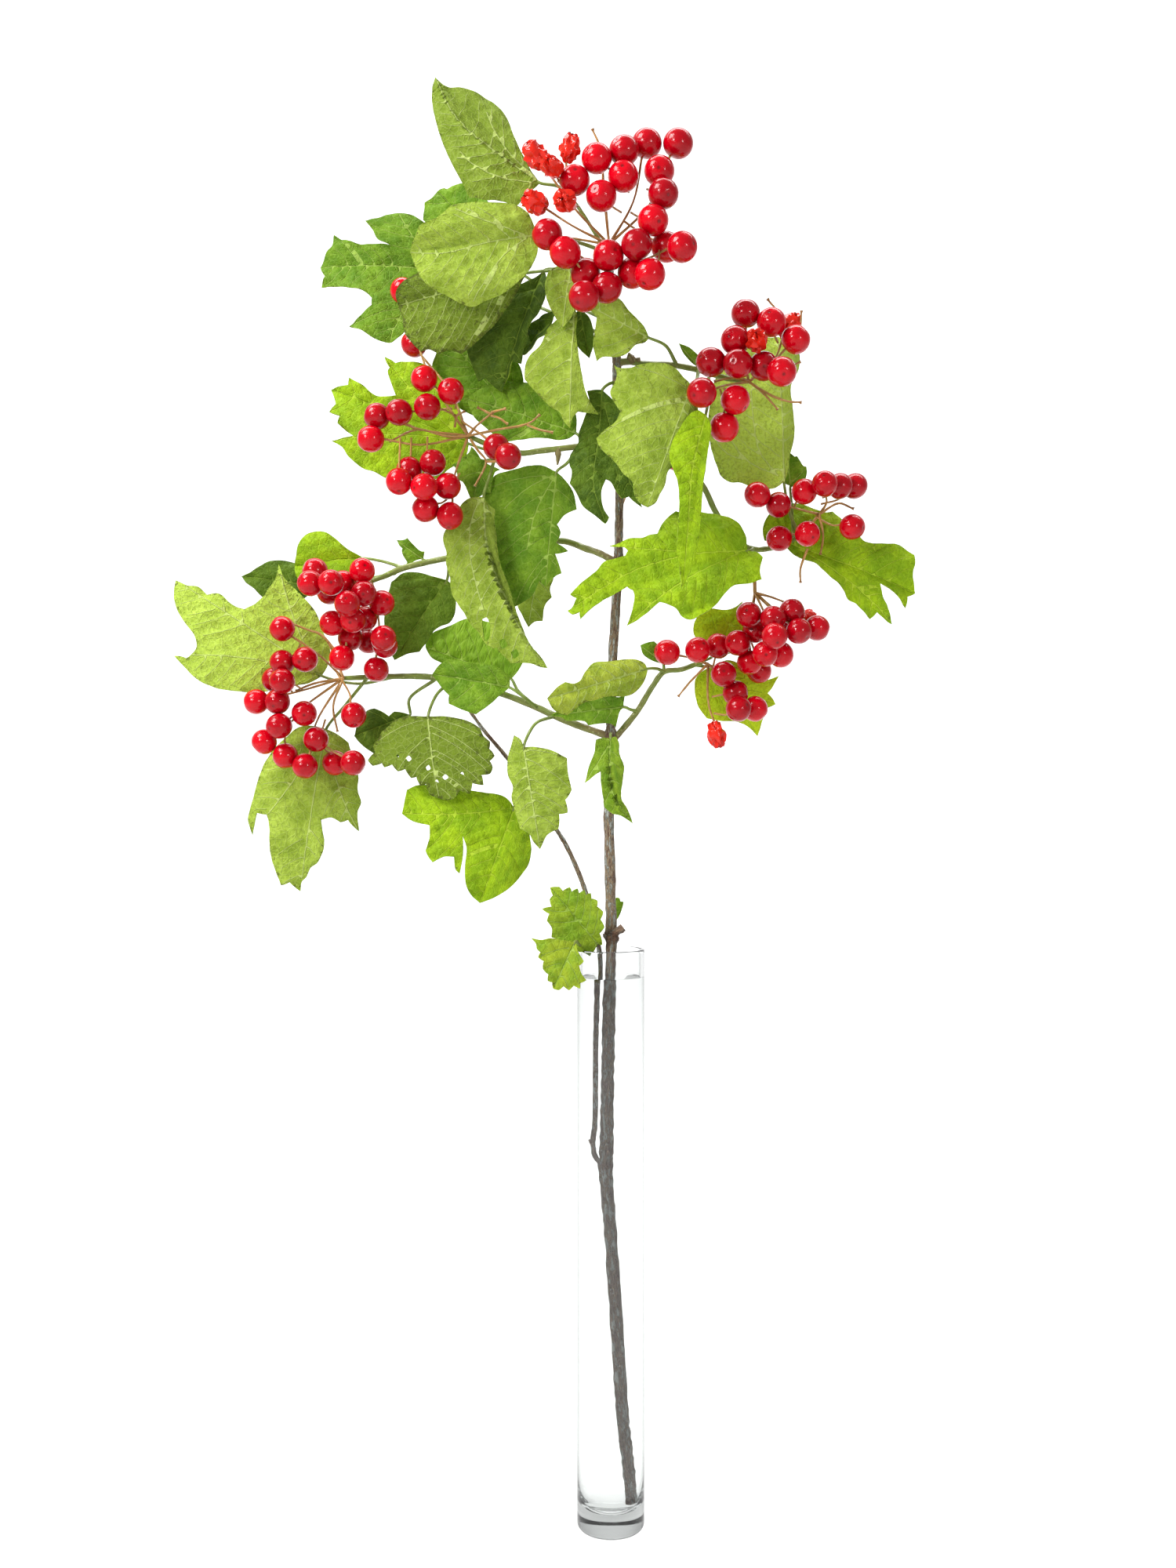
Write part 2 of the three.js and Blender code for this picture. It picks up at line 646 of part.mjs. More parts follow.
  leaf_olive_damaged: {
    base: [546, 914, 0], tip: [560, 1018, -5], colour: "under", bow: 3, cup: 2,
    edges: [
      { depth: 1, points: [[515, 920], [490, 945], [488, 968], [515, 985], [538, 1000]] },
      { depth: -4, points: [[590, 917], [615, 935], [630, 965], [627, 990], [605, 1012]] },
    ],
    stalk: [[557, 886, 4], [578, 868, 12]],
  },
  leaf_behind_olive: {
    base: [523, 912, 14], tip: [452, 939, 18], colour: "dark", bow: 1, cup: 1,
    edges: [
      { depth: 15, points: [[528, 950], [498, 974], [470, 956]] },
      { depth: 17, points: [[500, 911], [478, 903], [462, 924]] },
    ],
    stalk: [[522, 892, 15], [556, 866, 13]],
  },
  leaf_small_underside: {
    base: [668, 953, -9], tip: [689, 1083, -8], colour: "under", bow: 2, cup: 1,
    edges: [
      { depth: -6, points: [[652, 952], [648, 985], [656, 1030], [662, 1058], [680, 1073]] },
      { depth: -6, points: [[700, 956], [723, 970], [727, 1003], [720, 1036], [702, 1060]] },
    ],
    stalk: [[682, 924, -6], [706, 914, 4]],
  },
  leaf_bright_lower: {
    base: [656, 1030, 3], tip: [612, 1152, -3], colour: "bright", bow: 3, cup: 2,
    edges: [
      { depth: 0, sinus: 8, lobe: 3, points: [[640, 1008], [580, 1000], [520, 1008], [514, 1038],
        [549, 1056], [542, 1085], [552, 1100], [585, 1090], [590, 1072], [594, 1110], [598, 1138]] },
      { depth: 2, points: [[672, 1040], [678, 1075], [672, 1102], [652, 1130], [632, 1143]] },
    ],
    stalk: [[664, 1014, 8], [672, 1004, 13]],
  },
  leaf_rim: {
    base: [762, 1204, -4], tip: [702, 1132, -6], colour: "green", bow: 1, cup: 1,
    edges: [
      { depth: -8, points: [[740, 1208], [716, 1203], [703, 1192], [692, 1159], [701, 1150]] },
      { depth: -6, points: [[769, 1188], [768, 1164], [752, 1143], [728, 1133]] },
    ],
    stalk: [[765, 1198, -3], [765, 1200, 0.5]],
    lobe: {
      base: [734, 1201, -16], tip: [706, 1261, -18], bow: 1, cup: 1,
      edges: [
        { depth: -16, points: [[718, 1199], [682, 1198], [685, 1212], [694, 1236]] },
        { depth: -19, points: [[742, 1226], [738, 1238], [745, 1254], [724, 1262]] },
      ],
      stalk: [[742, 1196, -11], [752, 1194, -5]],
    },
  },
};

// Small leaves that grow straight from a twig and belong to its piece
const SMALL_LEAVES = {
  twig_right_low: [
    { base: [846, 847, 3], tip: [817, 823, 1], bow: 1, cup: 0, smooth: true,
      edges: [{ depth: 2, points: [[830, 842], [820, 834]] },
        { depth: 2, points: [[843, 828], [834, 818]] }],
      stalk: [[847, 857, 3]] },
    { base: [797, 902, -3], tip: [702, 913, -5], bow: 1, cup: 1,
      edges: [{ depth: -4, points: [[785, 928], [750, 926], [720, 920]] },
        { depth: -3, points: [[797, 886], [760, 885], [728, 896]] }],
      stalk: [[804, 905, -2], [813, 907, 1]] },
  ],
  twig_left_mid: [
    { base: [540, 714, 17], tip: [506, 689, 20], bow: 1, cup: 0,
      edges: [{ depth: 18, points: [[519, 722], [514, 704]] },
        { depth: 18, points: [[542, 704], [521, 687]] }],
      stalk: [[546, 716, 15], [552, 715, 12]] },
  ],
  twig_right_high: [
    { base: [890, 468, -10], tip: [866, 438, -12], bow: 1, cup: 0, smooth: true,
      edges: [{ depth: -11, points: [[884, 464], [872, 451]] },
        { depth: -11, points: [[895, 457], [879, 443]] }],
      stalk: [[892, 472, -10]] },
  ],
  twig_right_mid: [
    { base: [1008, 624, 13], tip: [1004, 577, 14], bow: 1, cup: 0,
      edges: [{ depth: 13, points: [[992, 612], [987, 590]] },
        { depth: 14, points: [[1029, 616], [1027, 597], [1016, 583]] }],
      stalk: [[1010, 650, 13], [1012, 688, 10]] },
  ],
  twig_left_high: [
    { base: [620, 588, -4], tip: [602, 640, -5], bow: 1, cup: 1,
      edges: [{ depth: -3, points: [[602, 571], [577, 594], [586, 614]] },
        { depth: -5, points: [[638, 600], [626, 630]] }],
      stalk: [[640, 584, -8], [652, 578, -12]] },
  ],
};

function sightLine(across, down) {
  const eye = new THREE.Vector3(VIEW_SIDE, -VIEW_DISTANCE, VIEW_HEIGHT);
  return new THREE.Ray(eye, seen([across, down, 0]).sub(eye).normalize());
}

// Places along the rib (0 base, 1 tip) and across it (0 rib, 1 point of the side lobe)

function halfFrame(base, tip, lobePoint) {
  const rib = tip.clone().sub(base);
  const across = lobePoint.clone().sub(base);
  const lobeAlong = across.dot(rib) / rib.lengthSq();
  across.addScaledVector(rib, -lobeAlong);
  return { rib, across, lobeAlong };
}

function lobeIndex(edge, base, tip) {
  if (edge.lobe !== undefined) {
    return edge.lobe;
  }
  const ribAcross = tip[0] - base[0];
  const ribDown = tip[1] - base[1];
  const widths = edge.points.map(
    ([across, down]) => Math.abs((across - base[0]) * ribDown - (down - base[1]) * ribAcross),
  );
  return widths.indexOf(Math.max(...widths));
}

function edgeKnots(leaf, edge) {
  const base = seen(leaf.base);
  const lobe = lobeIndex(edge, leaf.base, leaf.tip);
  const lobePoint = seen([...edge.points[lobe], edge.depth]);
  const frame = halfFrame(base, seen(leaf.tip), lobePoint);
  const normal = frame.rib.clone().cross(frame.across);
  const plane = new THREE.Plane().setFromNormalAndCoplanarPoint(normal.normalize(), base);
  const knots = edge.points.map(([across, down]) => {
    const place = sightLine(across, down).intersectPlane(plane, new THREE.Vector3()).sub(base);
    const along = place.dot(frame.rib) / frame.rib.lengthSq();
    return [along, place.dot(frame.across) / frame.across.lengthSq()];
  });
  return { frame, lobe, knots };
}

// The edge with a notch after each tooth; the side vein ends at the lobe's tooth

function toothedEdge(leaf, edge) {
  const { frame, lobe, knots } = edgeKnots(leaf, edge);
  const length = ([along, across]) => Math.hypot(along * frame.rib.length(), across * frame.across.length());
  const outline = [];
  let veinEnd = 0;
  knots.forEach((knot, index) => {
    if (index === lobe) {
      veinEnd = outline.length;
    }
    outline.push(knot);
    const following = knots[index + 1] ?? [1, 0];
    const span = length([following[0] - knot[0], following[1] - knot[1]]);
    if (!leaf.smooth && index !== edge.sinus && span > NOTCH_SPAN) {
      const inward = [NOTCH_PULL * (BLADE_MIDDLE - knot[0]), -NOTCH_PULL * knot[1]];
      const between = (axis) => THREE.MathUtils.lerp(knot[axis], following[axis], NOTCH_SHARE);
      outline.push([between(0) + inward[0], between(1) + inward[1]]);
    }
  });
  return { frame, outline, veinEnd };
}

function clockwiseTriangles(keys, places) {
  const corners = places.map(([x, y]) => new THREE.Vector2(x, y));
  return THREE.ShapeUtils.triangulateShape(corners, []).map((ear) => {
    const clockwise = THREE.ShapeUtils.isClockWise(ear.map((corner) => corners[corner]));
    return (clockwise ? ear : ear.reverse()).map((corner) => keys[corner]);
  });
}

// The side vein parts a half in two; it is left out where the edge would cross it

function bladeTriangles(outline, veinEnd, rib) {
  const [lobeAlong, lobeAcross] = outline[veinEnd];
  const vein = SIDE_VEIN.map((share) => [lobeAlong * share + VEIN_CURVE, lobeAcross * share]);
  const above = ([along, across]) => across * lobeAlong - along * lobeAcross;
  const veined = outline.slice(0, veinEnd).every((knot) => above(knot) > VEIN_CLEAR)
    && outline.slice(veinEnd + 1).every((knot) => above(knot) < -VEIN_CLEAR)
    && rib.every((place) => above(place) < -VEIN_CLEAR);
  const keys = outline.map((_, index) => index);
  const ribKeys = ["tip", "rib1", "rib0"];
  const ribPlaces = [[1, 0], [rib[1][0], rib[1][1] - VEIN_CURVE], [rib[0][0], rib[0][1] - VEIN_CURVE]];
  if (!veined) {
    const whole = clockwiseTriangles(["base", ...keys, ...ribKeys], [[0, 0], ...outline, ...ribPlaces]);
    return { vein: [], faces: whole };
  }
  const faces = clockwiseTriangles(
    ["base", ...keys.slice(0, veinEnd + 1), "vein1", "vein0"],
    [[0, 0], ...outline.slice(0, veinEnd + 1), vein[1], vein[0]],
  );
  const outer = clockwiseTriangles(
    ["base", "vein0", "vein1", ...keys.slice(veinEnd), ...ribKeys],
    [[0, 0], ...vein, ...outline.slice(veinEnd), ...ribPlaces],
  );
  return { vein, faces: [...faces, ...outer] };
}

function makeBlade(leaf) {
  const base = seen(leaf.base);
  const tip = seen(leaf.tip);
  const rib = tip.clone().sub(base);
  const halves = leaf.edges.map((edge) => toothedEdge(leaf, edge));
  const spread = halves[1].frame.across.clone().sub(halves[0].frame.across);
  const normal = rib.clone().cross(spread).normalize();
  if (normal.y > 0) {
    normal.negate();
  }
  const points = [];
  const offsets = [];
  const addPoint = (half, [along, across]) => {
    const rise = 4 * leaf.bow * along * (1 - along);
    const lift = rise + 4 * leaf.cup * Math.abs(across) * (1 - Math.abs(across));
    const facing = rib.clone().cross(half.frame.across).normalize();
    const place = base.clone().addScaledVector(rib, along).addScaledVector(half.frame.across, across);
    points.push(place.addScaledVector(normal, lift));
    offsets.push(BLADE_THICKNESS / 2 / Math.max(Math.abs(facing.dot(normal)), LEAST_FACING));
    return points.length - 1;
  };
  const ribShift = RIB_POINTS.map((share, order) => {
    const straight = base.clone().lerp(tip, share);
    return leaf.rib ? seen(leaf.rib[order]).sub(straight) : new THREE.Vector3();
  });
  const shared = {
    base: addPoint(halves[0], [0, 0]),
    rib0: addPoint(halves[0], [RIB_POINTS[0], 0]),
    rib1: addPoint(halves[0], [RIB_POINTS[1], 0]),
    tip: addPoint(halves[0], [1, 0]),
  };
  points[shared.rib0].add(ribShift[0]);
  points[shared.rib1].add(ribShift[1]);
  const triangles = [];
  const rims = [];
  halves.forEach((half, side) => {
    const ribPlaces = RIB_POINTS.map((share, order) => [
      share + ribShift[order].dot(rib) / rib.lengthSq(),
      ribShift[order].dot(half.frame.across) / half.frame.across.lengthSq(),
    ]);
    const { vein, faces } = bladeTriangles(half.outline, half.veinEnd, ribPlaces);
    const index = { ...shared };
    half.outline.forEach((place, order) => {
      index[order] = addPoint(half, place);
    });
    vein.forEach((place, order) => {
      index[`vein${order}`] = addPoint(half, place);
    });
    for (const corners of faces) {
      const [a, b, c] = corners.map((key) => index[key]);
      triangles.push(side === 0 ? [a, b, c] : [a, c, b]);
    }
    rims.push([shared.base, ...half.outline.map((_, order) => index[order]), shared.tip]);
  });
  const loop = [...rims[0], ...rims[1].slice(1, -1).reverse()];
  const count = points.length;
  const front = points.map((point, order) => point.clone().addScaledVector(normal, offsets[order]));
  const back = points.map((point, order) => point.clone().addScaledVector(normal, -offsets[order]));
  const faces = [];
  for (const [a, b, c] of triangles) {
    faces.push([a, b, c]);
    faces.push([a + count, c + count, b + count]);
  }
  loop.forEach((start, order) => {
    const end = loop[(order + 1) % loop.length];
    faces.push([start, start + count, end + count]);
    faces.push([start, end + count, end]);
  });
  const blade = toSolid(closedGeometry([...front, ...back], faces));
  return blade.volume() > 0
    ? blade
    : toSolid(closedGeometry([...front, ...back], faces.map(([a, b, c]) => [a, c, b])));
}

function makeLeaf(leaf, carriers) {
  const base = seen(leaf.base);
  const root = base.clone().lerp(seen(leaf.tip), STALK_OVERLAP);
  const radii = [LEAFSTALK_RADIUS, LEAFSTALK_RADIUS];
  const points = [root, base, ...leaf.stalk.map(seen)];
  const free = carriers.length > 0 ? clearEnd(points, radii, carriers) : points;
  return makeBlade(leaf).add(toSolid(limb(free, radii, STALK_SIDES, STALK_STEPS)));
}

// Bunches of berries. Berries nearer the viewer come first; one that would run into an
// earlier berry lies behind it.

const BUNCHES = {
  bunch_top: {
    hub: [777, 312, -35], radius: TOP_BERRY_RADIUS, front: -18, rays: 6,
    berries: [[865, 183], [796, 192], [761, 202], [841, 218], [733, 230], [795, 225], [846, 247],
      [767, 250], [833, 281], [698, 299], [721, 322], [776, 326], [812, 312], [870, 315], [774, 367],
      [747, 349], [829, 350], [745, 378]],
    shrivelled: [[683, 198], [727, 189], [682, 258]],
  },
  bunch_right_high: {
    hub: [955, 487, -12], radius: BERRY_RADIUS, front: -16, rays: 5,
    berries: [[951, 400], [984, 411], [938, 434], [1015, 433], [907, 462], [941, 464], [997, 474],
      [895, 501, -35], [938, 510], [924, 545], [968, 452, -6]],
    shrivelled: [[965, 434]],
  },
  bunch_right_mid: {
    hub: [1045, 656, 10], radius: BERRY_RADIUS, front: -12, rays: 4,
    berries: [[966, 631, -5], [993, 644, -3], [1026, 627], [1052, 617], [1090, 620], [994, 687],
      [1030, 681], [1087, 672], [1062, 650]],
    shrivelled: [],
  },
  bunch_right_low: {
    hub: [963, 756, 4], radius: BERRY_RADIUS, front: -10, rays: 5,
    berries: [[955, 784], [1010, 780], [941, 820], [963, 804], [986, 789], [1042, 801], [1019, 805],
      [988, 811], [996, 835], [968, 855], [990, 800, 12], [970, 825, 12], [1012, 815, 8]],
    shrivelled: [],
    stalk: [[962, 730, 4.5], [958, 700, 5]],
  },
  bunch_right_foot: {
    hub: [903, 847, 5], radius: BERRY_RADIUS, front: -10, rays: 3,
    berries: [[851, 832], [890, 829], [916, 824, 4], [923, 860], [938, 884], [963, 904]],
    shrivelled: [[914, 937]],
  },
  bunch_left_high: {
    hub: [597, 556, -15], radius: BERRY_RADIUS, front: -12, rays: 5,
    berries: [[541, 483], [575, 499], [545, 519], [509, 526], [481, 531], [473, 560], [648, 582, -28],
      [552, 590], [571, 620], [509, 614], [541, 621], [574, 658, -27], [543, 649]],
    shrivelled: [],
  },
  bunch_left_mid: {
    hub: [474, 741, 8], radius: BERRY_RADIUS, front: -12, rays: 5,
    berries: [[462, 728], [437, 744], [396, 744], [420, 755], [464, 757], [487, 769], [443, 770],
      [465, 789], [424, 795], [447, 814], [491, 823], [470, 818], [436, 839], [480, 854]],
    shrivelled: [],
  },
  bunch_left_low: {
    hub: [438, 865, 11], radius: BERRY_RADIUS, front: -12, rays: 5,
    berries: [[360, 802], [389, 841], [360, 845], [360, 869], [354, 895], [327, 895], [388, 910],
      [451, 912], [356, 926], [337, 946], [403, 943], [364, 964], [389, 977], [450, 973, 6],
    [427, 973, -2]], shrivelled: [],
  },
  bunch_back_right: {
    hub: [962, 535, 38], radius: BERRY_RADIUS, front: 10, rays: 4,
    berries: [[932, 520, 44], [968, 500, 46], [995, 520, 42], [940, 560, 46], [975, 545, 54],
      [985, 580, 44], [950, 590, 40], [975, 470, 38]],
    shrivelled: [],
    stalk: [[920, 542, 28], [850, 552, 10], [789, 590, -5]],
  },
  bunch_back_centre: {
    hub: [838, 560, 46], radius: BERRY_RADIUS, front: 10, rays: 4,
    berries: [[812, 530, 52], [845, 515, 54], [870, 545, 50], [808, 575, 50], [838, 565, 64],
      [862, 585, 54], [828, 602, 54]],
    shrivelled: [],
    stalk: [[815, 590, 32], [796, 635, 10], [790, 650, -3]],
  },
};

function placeBerries(bunch) {
  const [hubAcross, hubDown, hubDepth] = bunch.hub;
  const all = [
    ...bunch.berries.map((spot) => ({ spot, size: 1 })),
    ...bunch.shrivelled.map((spot) => ({ spot, size: SHRIVELLED_SIZE })),
  ];
  const far = ([across, down]) => Math.hypot(across - hubAcross, down - hubDown);
  const reach = Math.max(...all.map(({ spot }) => far(spot)));
  const placed = [];
  for (const { spot, size } of all) {
    const radius = bunch.radius * size;
    const wanted = spot[2] ?? hubDepth + bunch.front * (1 - BUNCH_DOME * (far(spot) / reach) ** 2);
    const isFree = (depth) => {
      const centre = seen([spot[0], spot[1], depth]);
      const apart = (other) => BERRY_SPACING * (radius + other.radius);
      return placed.every((other) => centre.distanceTo(other.centre) > apart(other));
    };
    let shift = 0;
    while (!isFree(wanted + shift)) {
      shift = shift < 0 ? -shift : -shift - DEPTH_STEP;
    }
    placed.push({ centre: seen([spot[0], spot[1], wanted + shift]), radius });
  }
  return placed;
}

// A berry with its stalk: one closed surface around the line from the fork to the berry

function berryOnStalk(fork, berry) {
  const forward = berry.centre.clone().sub(fork);
  const length = forward.length();
  forward.normalize();
  const outward = new THREE.Vector3(0.3, 1, 0.2);
  outward.addScaledVector(forward, -outward.dot(forward)).normalize();
  const sideways = forward.clone().cross(outward);
  const vertices = [];
  const ring = (count, along, radius) => {
    for (let side = 0; side < count; side += 1) {
      const turn = (2 * Math.PI * side) / count;
      const centre = fork.clone().addScaledVector(forward, along);
      centre.addScaledVector(outward, radius * Math.cos(turn));
      vertices.push(centre.addScaledVector(sideways, radius * Math.sin(turn)));
    }
  };
  ring(RAY_SIDES, 0, RAY_RADIUS);
  ring(RAY_SIDES, Math.max(length - BERRY_OVERLAP * berry.radius, FIT_GAP), RAY_RADIUS);
  for (const turn of BERRY_RINGS) {
    ring(BERRY_SIDES, length - berry.radius * Math.cos(turn), berry.radius * Math.sin(turn));
  }
  ring(1, length + berry.radius, 0);
  const triangles = [[0, 2, 1]];
  for (let side = 0; side < RAY_SIDES; side += 1) {
    const next = (side + 1) % RAY_SIDES;
    triangles.push([side, next, 3 + next], [side, 3 + next, 3 + side]);
    const under = 6 + 2 * side;
    const beyond = 6 + ((2 * side + 2) % BERRY_SIDES);
    triangles.push([3 + side, under + 1, under]);
    triangles.push([3 + side, 3 + next, under + 1]);
    triangles.push([3 + next, beyond, under + 1]);
  }
  for (let side = 0; side < BERRY_SIDES; side += 1) {
    const next = (side + 1) % BERRY_SIDES;
    triangles.push([6 + side, 6 + next, 12 + next], [6 + side, 12 + next, 12 + side]);
    triangles.push([12 + side, 12 + next, 18]);
  }
  return closedGeometry(vertices, triangles);
}

// Each ray runs from the hub to its farthest berry and carries the others along it

function makeBunch(bunch, carriers) {
  const hub = seen(bunch.hub);
  const berries = placeBerries(bunch);
  const parts = [ball(hub, HUB_RADIUS, 5, 3)];
  if (bunch.stalk) {
    const radii = [BUNCH_STALK_RADIUS, BUNCH_STALK_RADIUS];
    const line = clearEnd([hub, ...bunch.stalk.map(seen)], radii, carriers);
    parts.push(limb(line, radii, STUB_SIDES, 2 * line.length));
  }
  const turnOf = (berry) => Math.atan2(berry.centre.z - hub.z, berry.centre.x - hub.x);
  const sorted = [...berries].sort((one, two) => turnOf(one) - turnOf(two));
  const perRay = Math.ceil(sorted.length / bunch.rays);
  for (let first = 0; first < sorted.length; first += perRay) {
    const reachOf = (berry) => berry.centre.distanceTo(hub);
    const group = sorted.slice(first, first + perRay).sort((one, two) => reachOf(two) - reachOf(one));
    const farthest = group[0].centre;
    parts.push(berryOnStalk(hub, group[0]));
    group.slice(1).forEach((berry, order) => {
      const share = RAY_FORKS[1] - ((RAY_FORKS[1] - RAY_FORKS[0]) * order) / group.length;
      const along = berry.centre.clone().sub(hub).dot(farthest.clone().sub(hub)) / reachOf(group[0]) ** 2;
      const fork = hub.clone().lerp(farthest, Math.min(share, Math.max(along, FIRST_FORK)));
      parts.push(berryOnStalk(fork, berry));
    });
  }
  return joined(parts);
}

addPiece("vase", makeVase(), "glass");
addPiece("water", toGeometry(makeWater()), "water");
const mainStem = joined(stemParts(0));
const twigSolid = (line, twig) => toSolid(limb(line, twig.radii, TWIG_SIDES, TWIG_STEPS));
const bareTwigs = Object.values(TWIGS).map((twig) => twigSolid(twig.line.map(seen), twig));
const branches = [mainStem, ...bareTwigs];
const bunchSolids = Object.entries(BUNCHES).map(([name, bunch]) => [name, makeBunch(bunch, branches)]);
const bunches = bunchSolids.map(([, solid]) => solid);
const twigs = Object.entries(TWIGS).map(([name, twig]) => {
  const rooted = clearStart(twig.line.map(seen), twig.radii, [mainStem]);
  const clear = clearEnd(rooted, twig.radii, bunches);
  return [name, twigSolid(clear, twig)];
});
const carriers = [mainStem, ...twigs.map(([, solid]) => solid)];
for (const [name, solid] of twigs) {
  const leaves = (SMALL_LEAVES[name] ?? []).map((leaf) => makeLeaf(leaf, []));
  const leafy = leaves.reduce((whole, leaf) => whole.add(leaf), solid);
  addPiece(name, toGeometry(leafy), "twig");
}
addPiece("main_stem", toGeometry(mainStem), "bark");
for (const [name, solid] of bunchSolids) {
  addPiece(name, toGeometry(solid), "berry");
}
for (const [name, leaf] of Object.entries(LEAVES)) {
  const blade = makeLeaf(leaf, carriers);
  const whole = leaf.lobe ? blade.add(makeLeaf(leaf.lobe, [])) : blade;
  addPiece(name, toGeometry(whole), leaf.colour);
}

export default branch;
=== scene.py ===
# %% [markdown]
# # A jug of guelder rose branch
# The object is one cut branch of guelder rose in a slim glass cylinder of water. It has a woody
# stem, green side twigs, lobed and toothed leaves, and bunches of glossy red berries on thin
# rays. The imported CAD model gives each of these its place, and this lesson dresses it: each
# CAD piece is replaced by a finer mesh of the same form with a finish of its own. We first
# load the CAD model. The finished model has to stay inside it.

# %% Load the frame
import math
import random

import bpy
import numpy as np
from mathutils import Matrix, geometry


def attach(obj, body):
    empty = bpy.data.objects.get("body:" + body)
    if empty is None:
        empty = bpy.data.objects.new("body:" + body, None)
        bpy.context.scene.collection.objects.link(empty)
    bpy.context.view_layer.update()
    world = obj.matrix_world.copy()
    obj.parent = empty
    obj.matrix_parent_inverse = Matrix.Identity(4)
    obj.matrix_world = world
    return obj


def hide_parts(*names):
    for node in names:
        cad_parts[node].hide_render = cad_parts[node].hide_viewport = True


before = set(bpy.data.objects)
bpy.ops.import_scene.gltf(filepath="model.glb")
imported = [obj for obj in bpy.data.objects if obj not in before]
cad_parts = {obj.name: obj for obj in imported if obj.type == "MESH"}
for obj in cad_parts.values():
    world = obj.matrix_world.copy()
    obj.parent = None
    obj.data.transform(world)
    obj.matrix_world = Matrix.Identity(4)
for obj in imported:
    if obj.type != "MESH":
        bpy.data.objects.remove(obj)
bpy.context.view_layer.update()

# %% [markdown]
# ## The photograph's viewpoint
# Leaves and twigs are placed by what the photograph shows. A place is three numbers: across
# and down in a picture 1500 wide and 2000 high, and the depth in millimetres behind the
# vase's axis. One function turns it into a point of the CAD frame where the camera sees it.
# Shapes are worked out in millimetres and become metres when a mesh is made.

# %% Places in the picture
MM = 0.001
EYE = np.array([-9.37, -650.0, 305.9])
PICTURE = (1500, 2000)
MM_PER_PIXEL = 0.323
SENSOR = 36


def seen(place):
    across, down, depth = place
    scale = MM_PER_PIXEL * (1 - depth / EYE[1])
    x = EYE[0] + (across - PICTURE[0] / 2) * scale
    return np.array([x, depth, EYE[2] - (down - PICTURE[1] / 2) * scale])


def unit(vector):
    return vector / max(np.linalg.norm(vector), 1e-9)


camera = bpy.data.objects.new("camera", bpy.data.cameras.new("camera"))
camera.data.sensor_width = SENSOR
camera.data.lens = SENSOR * -EYE[1] / (PICTURE[1] * MM_PER_PIXEL)
camera.location = EYE * MM
camera.rotation_euler = (math.pi / 2, 0, 0)
bpy.context.scene.collection.objects.link(camera)
bpy.context.scene.camera = camera
print("camera lens, mm:", round(camera.data.lens, 1))

# %% [markdown]
# ## Lines and tubes
# Stems, twigs, stalks and rays are tubes along a smooth line, the same kind of curve as in
# the CAD source. A Blender curve with a bevel could make them, but a mesh made here can swell
# at a joint, taper, and share one object with the berries or blade that it carries. Points
# move in or out a little by chance, because nothing that grew is even.

# %% Smooth lines
def smooth_line(points, steps):
    """Places on a smooth curve through the points, with some steps for each span."""
    points = [np.asarray(point, float) for point in points]
    ends = [2 * points[0] - points[1], *points, 2 * points[-1] - points[-2]]
    line = []
    for span in range(len(points) - 1):
        p0, p1, p2, p3 = ends[span:span + 4]
        pairs = ((p0, p1), (p1, p2), (p2, p3))
        t1, t2, t3 = (max(np.linalg.norm(b - a), 1e-6) ** 0.5 for a, b in pairs)
        start = ((p1 - p0) / t1 - (p2 - p0) / (t1 + t2) + (p2 - p1) / t2) * t2
        end = ((p2 - p1) / t2 - (p3 - p1) / (t2 + t3) + (p3 - p2) / t3) * t2
        for step in range(steps):
            s = step / steps
            rise = s * s * (3 - 2 * s)
            line.append(p1 + (p2 - p1) * rise + start * s * (1 - s) ** 2 - end * s * s * (1 - s))
    return np.array([*line, points[-1]])


def lengths_along(line):
    return np.concatenate([[0], np.cumsum(np.linalg.norm(np.diff(line, axis=0), axis=1))])


FIRST_OUTWARD = np.array([1, 0.2, 0.3])
SWELL_SHARE = 1.2
SWELL_WAVES = (0.31, 0.83)


def ring_faces(rings, sides, first=0):
    """Faces between rings of points, where the first ring starts at the given point."""
    faces = []
    for ring in range(rings):
        for side in range(sides):
            near = first + ring * sides + side
            beside = first + ring * sides + (side + 1) % sides
            faces.append((near, beside, beside + sides, near + sides))
    return faces


def tube(points, radii, sides=8, steps=4, wobble=0.0, seed=1):
    """A closed tube: its points, faces and places (across, across, along) for grain."""
    line = smooth_line(points, steps)
    along = np.linspace(0, len(radii) - 1, len(line))
    widths = np.interp(along, range(len(radii)), radii)
    chance = random.Random(seed)
    outward = FIRST_OUTWARD
    vertices = []
    places = []
    forward = np.gradient(line, axis=0)
    for centre, ahead, width, length in zip(line, forward, widths, lengths_along(line)):
        ahead = unit(ahead)
        swell = SWELL_SHARE * wobble * math.sin(SWELL_WAVES[0] * length + seed)
        swell *= math.sin(SWELL_WAVES[1] * length)
        outward = unit(outward - ahead * outward.dot(ahead))
        sideways = np.cross(ahead, outward)
        for side in range(sides):
            turn = 2 * math.pi * side / sides
            reach = width * (1 + wobble * chance.uniform(-1, 1) + swell)
            vertices.append(centre + reach * (outward * math.cos(turn) + sideways * math.sin(turn)))
            places.append((width * math.cos(turn), width * math.sin(turn), length))
    last = (len(line) - 1) * sides
    ends = [tuple(range(sides))[::-1], tuple(range(last, last + sides))]
    return np.array(vertices), ring_faces(len(line) - 1, sides) + ends, places


# %% [markdown]
# ## From numbers to a piece
# Every piece is collected in a notebook of points and faces, in millimetres. A point may also
# carry numbers for its finish, such as its distance from the nearest vein, which materials
# read as attributes. A full notebook becomes a mesh object, takes over from its CAD piece and
# rides on the body "root".

# %% Collect points and make pieces
VALUES = ("vein", "rim", "tint", "spot", "shade")
SHARP_ANGLE = math.radians(48)
triangle_total = 0


